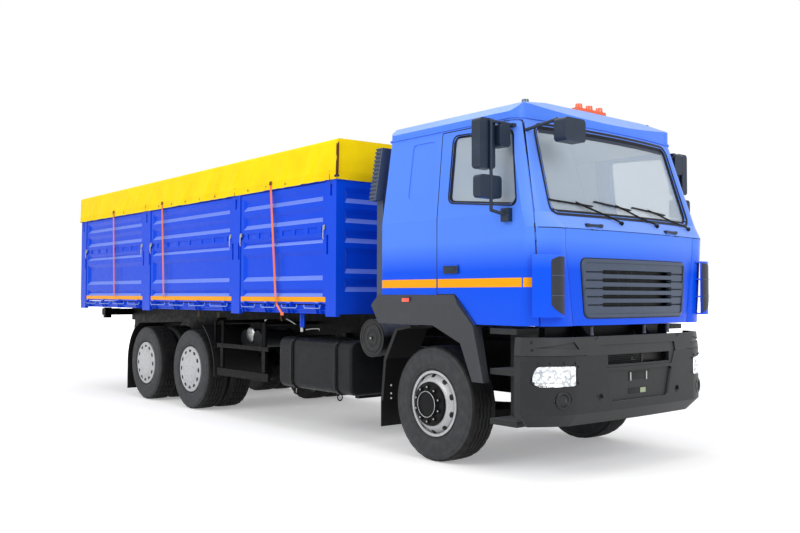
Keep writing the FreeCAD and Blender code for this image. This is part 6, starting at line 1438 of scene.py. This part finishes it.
# %% Tank bands, filter rings and small things under the bed
bands, rings, leg, light_parts = bmesh.new(), bmesh.new(), bmesh.new(), bmesh.new()
for x in (-2296, -1471):
    section = [(-640, 1047), (-1118, 1048), (-1168, 1034), (-1203, 1000), (-1217, 945), (-1217, 573),
               (-1203, 519), (-1170, 484), (-1120, 470), (-660, 470)]
    add_band(bands, [(x, y, z) for y, z in section], (1, 0, 0), 60, 9)
    add_band(bands, [(x, y - 6 if y < -1150 else y, z) for y, z in section[3:7]], (1, 0, 0), 26, 10)
    add_bar(rings, [(x + 2, -1150 + 30 * math.cos(a), 446 + 34 * math.sin(a)) for a in
                    [2 * math.pi * i / 24 for i in range(24)]], 7, 8, closed=True)
    add_bar(light_parts, [(x + 2, -1150, 480), (x + 2, -1150, 420)], 5, 8)
finish_piece("tank_bands", bands, seal_rubber, "chassis")
finish_piece("tank_tensioners", rings, hub_black, "chassis")
filter_face = bmesh.new()
FILTER_CENTRE = (-930, -1150, 1082)
FILTER_END = [(0, 16), (16, 15), (20, 6), (62, 5), (70, 12), (80, 12), (88, 4), (128, 3), (136, 11),
              (146, 11), (152, 2), (168, 2), (176, 9), (189, 7), (190, 0)]
add_turned(filter_face, FILTER_END, FILTER_CENTRE, (0, -1, 0), 60)
finish_piece("filter_end", filter_face, bumper_dark, "chassis")
add_turned(light_parts, [(0, 24), (9, 24), (12, 18), (12, 14), (0, 14)], FILTER_CENTRE, (0, -1, 0), 20)
add_box(leg, (-2292, -1112, 1150), (-2212, -1092, 1320), 5)
add_box(leg, (-2262, -1122, 1150), (-2242, -1088, 1318), 4)
finish_piece("bed_leg", leg, blue_enamel_body, "chassis")
add_turned(light_parts, [(0, 0), (24, 0), (24, 44), (18, 52), (0, 52)], (-2252, -1102, 1100), (0, 0, 1), 24)
add_box(light_parts, (-3214, -1010, 1168), (-3160, -990, 1212), 4)
add_bar(light_parts, [(-2507, -1150, 1238), (-2420, -1150, 1216), (-2314, -1152, 1183)], 7, 8)
add_bar(light_parts, [(-2152, -1120, 1126), (-2020, -1122, 1140), (-1893, -1124, 1144), (-1884, -1124, 1128)],
        6, 8)
finish_piece("fittings_under_bed", light_parts, zinc_plate, "chassis")
cap = bmesh.new()
add_turned(cap, [(0, 12), (18, 11), (24, 3), (60, 1), (84, -6), (96, -18)], (-3750, -905, 1010),
           (0, -1, 0), 36)
finish_piece("receiver_end", cap, zinc_plate, "chassis")
brown_block = grained_plastic("brown_rubber_block", "4A4038", "5C5248", 0.7, 4.0, 0.0006)
blocks = bmesh.new()
for x in (-5119, -4563):
    add_box(blocks, (x - 46, -908, 1205), (x + 46, -892, 1282), 6)
finish_piece("bed_blocks", blocks, brown_block, "chassis")
print("underbody dressed")

# %% [markdown]
# Hoops of bent tube rise behind the side guards. Three bolts hold each front mudguard.

# %% Guard hoops and mudguard bolts
hoops, bolts = bmesh.new(), bmesh.new()
for side, hand in SIDES:
    for x in (-4180, -3010):
        add_bar(hoops, [(x, side * 1150, 700), (x, side * 1150, 1120), (x, side * 1140, 1168),
                        (x, side * 1100, 1196), (x, side * 1000, 1200)], 17, 10)
    for z in (650, 573, 527):
        add_turned(bolts, [(0, 8), (7, 8), (10, 4), (10, -2), (0, -2)], (-548, side * 1214, z),
                   (0, side, 0), 16)
finish_piece("guard_hoops", hoops, frame_black, "chassis")
finish_piece("mudguard_bolts", bolts, zinc_plate, "chassis")
print("hoops bent: 4")

# %% [markdown]
# Inside, the cab is lined in light grey board, which shows pale behind the glass. A dark dashboard with
# a hooded dial panel runs across it, and the wheel leans on its column in front of the left seat.

# %% Cab lining, dashboard and steering wheel
lining_grey = grained_plastic("light_grey_lining", "E2E5E6", "EDEFEF", 0.8, 3.0, 0.0004)
dash_plastic = grained_plastic("dashboard_plastic", "33373C", "40444A", 0.6, 2.0, 0.0003)


def line_cab():
    bm = bmesh.new()
    add_prism(bm, [(-1180, 1324), (1180, 1324), (1180, 2190), (1084, 2948), (-1084, 2948)], -634, -629, "x")
    add_prism(bm, [(-1076, 2946), (1076, 2946), (1076, 2951), (-1076, 2951)], -628, 930, "x")
    add_prism(bm, [(-628, -1176), (700, -1176), (700, 1176), (-628, 1176)], 1314, 1322, "z")
    for side in (-1, 1):
        add_prism(bm, [(side * 1180, 1324), (side * 1184, 1324), (side * 1184, 2190), (side * 1180, 2190)],
                  -628, 92, "x")
        add_prism(bm, [(side * 1180, 2190), (side * 1184, 2190), (side * 1087, 2946), (side * 1083, 2946)],
                  -628, 92, "x")
    return finish_piece("cab_lining", bm, lining_grey, "cab", 20)


def line_door(side, hand):
    bm = bmesh.new()
    add_prism(bm, [(side * 1180, 1330), (side * 1185, 1330), (side * 1185, 2150), (side * 1180, 2150)],
              160, 1000, "x")
    add_box(bm, (300, side * 1140, 1840), (760, side * 1180, 1900), 14)
    return finish_piece("door_card_" + hand, bm, lining_grey, "door_" + hand, 20)


def dashboard():
    bm = bmesh.new()
    outline = [(812, 1560), (796, 1740), (752, 1810), (742, 2035), (772, 2088), (840, 2112), (1085, 2112),
               (1120, 2060), (1130, 1560)]
    add_prism(bm, outline, -1060, 1060, "y")
    hood = [(735, 2080), (742, 2150), (790, 2172), (900, 2150), (980, 2100)]
    add_prism(bm, hood, 400, 840, "y")
    for y in (-760, -300, 60):
        add_box(bm, (726, y - 70, 1960), (744, y + 70, 2030), 8)
    bmesh.ops.bevel(bm, geom=[e for e in bm.edges if e.calc_length() > 0.4], offset=0.012, segments=3,
                    affect="EDGES", clamp_overlap=True)
    return finish_piece("dashboard", bm, dash_plastic, "cab")


def steering_wheel():
    bm = bmesh.new()
    tilt = math.radians(35)
    axis = Vector((-math.sin(tilt), 0, math.cos(tilt)))
    side_way = Vector((math.cos(tilt), 0, math.sin(tilt)))
    middle = Vector((600, 620, 2100))
    ring = [middle + 225 * (math.cos(a) * side_way + math.sin(a) * Vector((0, 1, 0)))
            for a in [2 * math.pi * i / 48 for i in range(48)]]
    add_bar(bm, [tuple(p) for p in ring], 15, 12, closed=True)
    for angle in (0.35, math.pi - 0.35, -math.pi / 2 - 0.6, -math.pi / 2 + 0.6):
        rim = middle + 218 * (math.sin(angle) * side_way + math.cos(angle) * Vector((0, 1, 0)))
        add_bar(bm, [tuple(middle - axis * 22), tuple((middle + rim) / 2 - axis * 18), tuple(rim)], 11, 8)
    add_turned(bm, [(0, 12), (52, 8), (70, -6), (74, -30), (40, -60), (0, -60)], tuple(middle), axis, 32)
    foot = middle - axis * 420
    add_bar(bm, [tuple(middle - axis * 40), tuple(middle - axis * 220), tuple(foot)], 26, 12)
    return finish_piece("steering_wheel", bm, mirror_plastic, "cab")


line_cab()
dashboard()
steering_wheel()
for side, hand in SIDES:
    line_door(side, hand)
print("cab lined")

# %% [markdown]
# Two sprung seats stand on boxes. Their cushions are foam in a charcoal cloth cover, swollen a little
# by pressure and held in at the seams. The simulation has no random part, so each run gives the same cushion.

# %% Padded seats
def foam_block(low, high, round_mm=38):
    bm = bmesh.new()
    add_box(bm, low, high, 0)
    bmesh.ops.bevel(bm, geom=list(bm.edges), offset=round_mm * MM, segments=4, profile=0.6, affect="EDGES",
                    clamp_overlap=True)
    return bm


def inflate(piece, voxel_mm=13, pressure=4.0, most_mm=22):
    scene = bpy.context.scene
    remesh = piece.modifiers.new("even_mesh", "REMESH")
    remesh.mode, remesh.voxel_size = "VOXEL", voxel_mm * MM
    apply_modifiers(piece)
    start = [v.co.copy() for v in piece.data.vertices]
    cloth = piece.modifiers.new("cover", "CLOTH")
    cloth.settings.use_pressure = True
    cloth.settings.uniform_pressure_force = pressure
    cloth.settings.effector_weights.gravity = 0
    for frame_number in range(1, 21):
        scene.frame_set(frame_number)
    apply_modifiers(piece)
    scene.frame_set(1)
    for v, before in zip(piece.data.vertices, start):
        move = v.co - before
        if move.length > most_mm * MM:
            v.co = before + move.normalized() * most_mm * MM
    smooth = piece.modifiers.new("softer", "SUBSURF")
    smooth.levels = smooth.render_levels = 1
    apply_modifiers(piece)
    return piece


def apply_modifiers(piece):
    graph = bpy.context.evaluated_depsgraph_get()
    mesh = bpy.data.meshes.new_from_object(piece.evaluated_get(graph))
    piece.modifiers.clear()
    piece.data = mesh
    mesh.shade_smooth()


def seat(side, hand):
    y = side * 620
    pads = []
    for label, low, high in (("cushion", (-290, y - 235, 1655), (205, y + 235, 1755)),
                             ("back", (-418, y - 232, 1790), (-318, y + 232, 2385)),
                             ("headrest", (-412, y - 125, 2440), (-330, y + 125, 2590))):
        pad = finish_piece("seat_%s_%s" % (label, hand), foam_block(low, high), seat_cloth, "cab", 60)
        inflate(pad)
        pads.append(pad)
    bm = bmesh.new()
    add_box(bm, (-255, y - 180, 1322), (165, y + 180, 1560), 18)
    add_box(bm, (-285, y - 225, 1560), (205, y + 225, 1632), 10)
    for dy in (-60, 60):
        add_bar(bm, [(-372, y + dy, 2380), (-372, y + dy, 2450)], 8, 10)
    finish_piece("seat_stand_" + hand, bm, dash_plastic, "cab")
    return pads


seat_pads = [seat(side, hand) for side, hand in SIDES]
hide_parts("cab_interior")
print("seats padded:", len(seat_pads))

# %% [markdown]
# Mirror glass faces backward. Each tail lamp is a row of three red panes of different widths.

# %% Mirror glass and tail lamps
def mirror_pane(name, body, x, y, z, width, height):
    bm = bmesh.new()
    outline = rounded([(y - width / 2, z - height / 2), (y + width / 2, z - height / 2),
                       (y + width / 2, z + height / 2), (y - width / 2, z + height / 2)], 26, 5)
    add_prism(bm, outline, x, x - 3, "x")
    return finish_piece(name, bm, mirror_silver, body)


for side, hand in SIDES:
    mirror_pane("main_mirror_glass_" + hand, "door_" + hand, 839, side * 1424, 2755, 150, 380)
    mirror_pane("wide_mirror_glass_" + hand, "door_" + hand, 872, side * 1405, 2399, 216, 158)
    lamps = bmesh.new()
    for y, width in ((675, 120), (800, 100), (875, 30)):
        add_box(lamps, (-8668, side * y - width / 2, 1180), (-8659, side * y + width / 2, 1260), 4)
    finish_piece("tail_lamp_" + hand, lamps, red_lens, "chassis")
print("mirrors and tail lamps done")

# %% [markdown]
# The truck was cut out on white, with only a soft shadow under it. The floor is white where the camera
# and the reflections see it, and takes the shadow. A big soft sky and three wide lamps light it evenly.

# %% Floor, light and sky
def rays_that_show_white(tree):
    """1 for rays of the camera, of reflections and of things seen through glass, else 0."""
    path = add_node(tree, "ShaderNodeLightPath")
    seen = add_node(tree, "ShaderNodeMath", {"operation": "MAXIMUM"}, i0=path.outputs["Is Camera Ray"],
                    i1=path.outputs["Is Glossy Ray"])
    return add_node(tree, "ShaderNodeMath", {"operation": "MAXIMUM"}, i0=seen.outputs[0],
                    i1=path.outputs["Is Transmission Ray"]).outputs[0]


def stage():
    bpy.ops.mesh.primitive_plane_add(size=400, location=(0, 0, 0))
    floor = bpy.context.object
    floor.name = "studio_floor"
    material, tree, shader = new_material("white_studio_floor")
    shader.inputs["Base Color"].default_value = grey(0.85)
    set_values(shader, Roughness=1.0, Specular_IOR_Level=0.0, Emission_Color=grey(1.0))
    where = add_node(tree, "ShaderNodeTexCoord")
    away = add_node(tree, "ShaderNodeVectorMath", {"operation": "LENGTH"}, i0=where.outputs["Object"])
    strength = add_node(tree, "ShaderNodeMapRange", Value=away.outputs["Value"], From_Min=6.5, From_Max=14.0,
                        To_Min=0.3, To_Max=1.0)
    glow = add_node(tree, "ShaderNodeMath", {"operation": "MULTIPLY"}, i0=rays_that_show_white(tree),
                    i1=strength.outputs["Result"])
    tree.links.new(glow.outputs[0], shader.inputs["Emission Strength"])
    floor.data.materials.append(material)
    world = bpy.data.worlds.new("studio_sky")
    bpy.context.scene.world = world
    world.use_nodes = True
    tree = world.node_tree
    tree.nodes.clear()
    out = tree.nodes.new("ShaderNodeOutputWorld")
    soft = add_node(tree, "ShaderNodeBackground", Color=grey(1.0), Strength=0.74)
    white = add_node(tree, "ShaderNodeBackground", Color=grey(1.0), Strength=1.0)
    mix = add_node(tree, "ShaderNodeMixShader", i0=rays_that_show_white(tree), i1=soft.outputs[0],
                   i2=white.outputs[0])
    tree.links.new(mix.outputs[0], out.inputs["Surface"])


def lamp(name, position, target, size, power):
    data = bpy.data.lights.new(name, "AREA")
    data.shape = "RECTANGLE"
    data.size, data.size_y, data.energy = size[0], size[1], power
    light = bpy.data.objects.new(name, data)
    bpy.context.scene.collection.objects.link(light)
    light.location = position
    light.rotation_euler = (Vector(target) - Vector(position)).to_track_quat("-Z", "Y").to_euler()
    return light


bpy.context.scene.view_settings.view_transform = "Standard"
stage()
lamp("broad_lamp_from_the_right", (2, -14, 9), (0, 0, 1.5), (12, 6), 860)
lamp("broad_lamp_from_ahead", (16, -2, 8), (4, 0, 1.5), (8, 6), 620)
lamp("lamp_overhead", (0, 0, 12), (0, 0, 0), (12, 6), 380)
print("lamps placed")
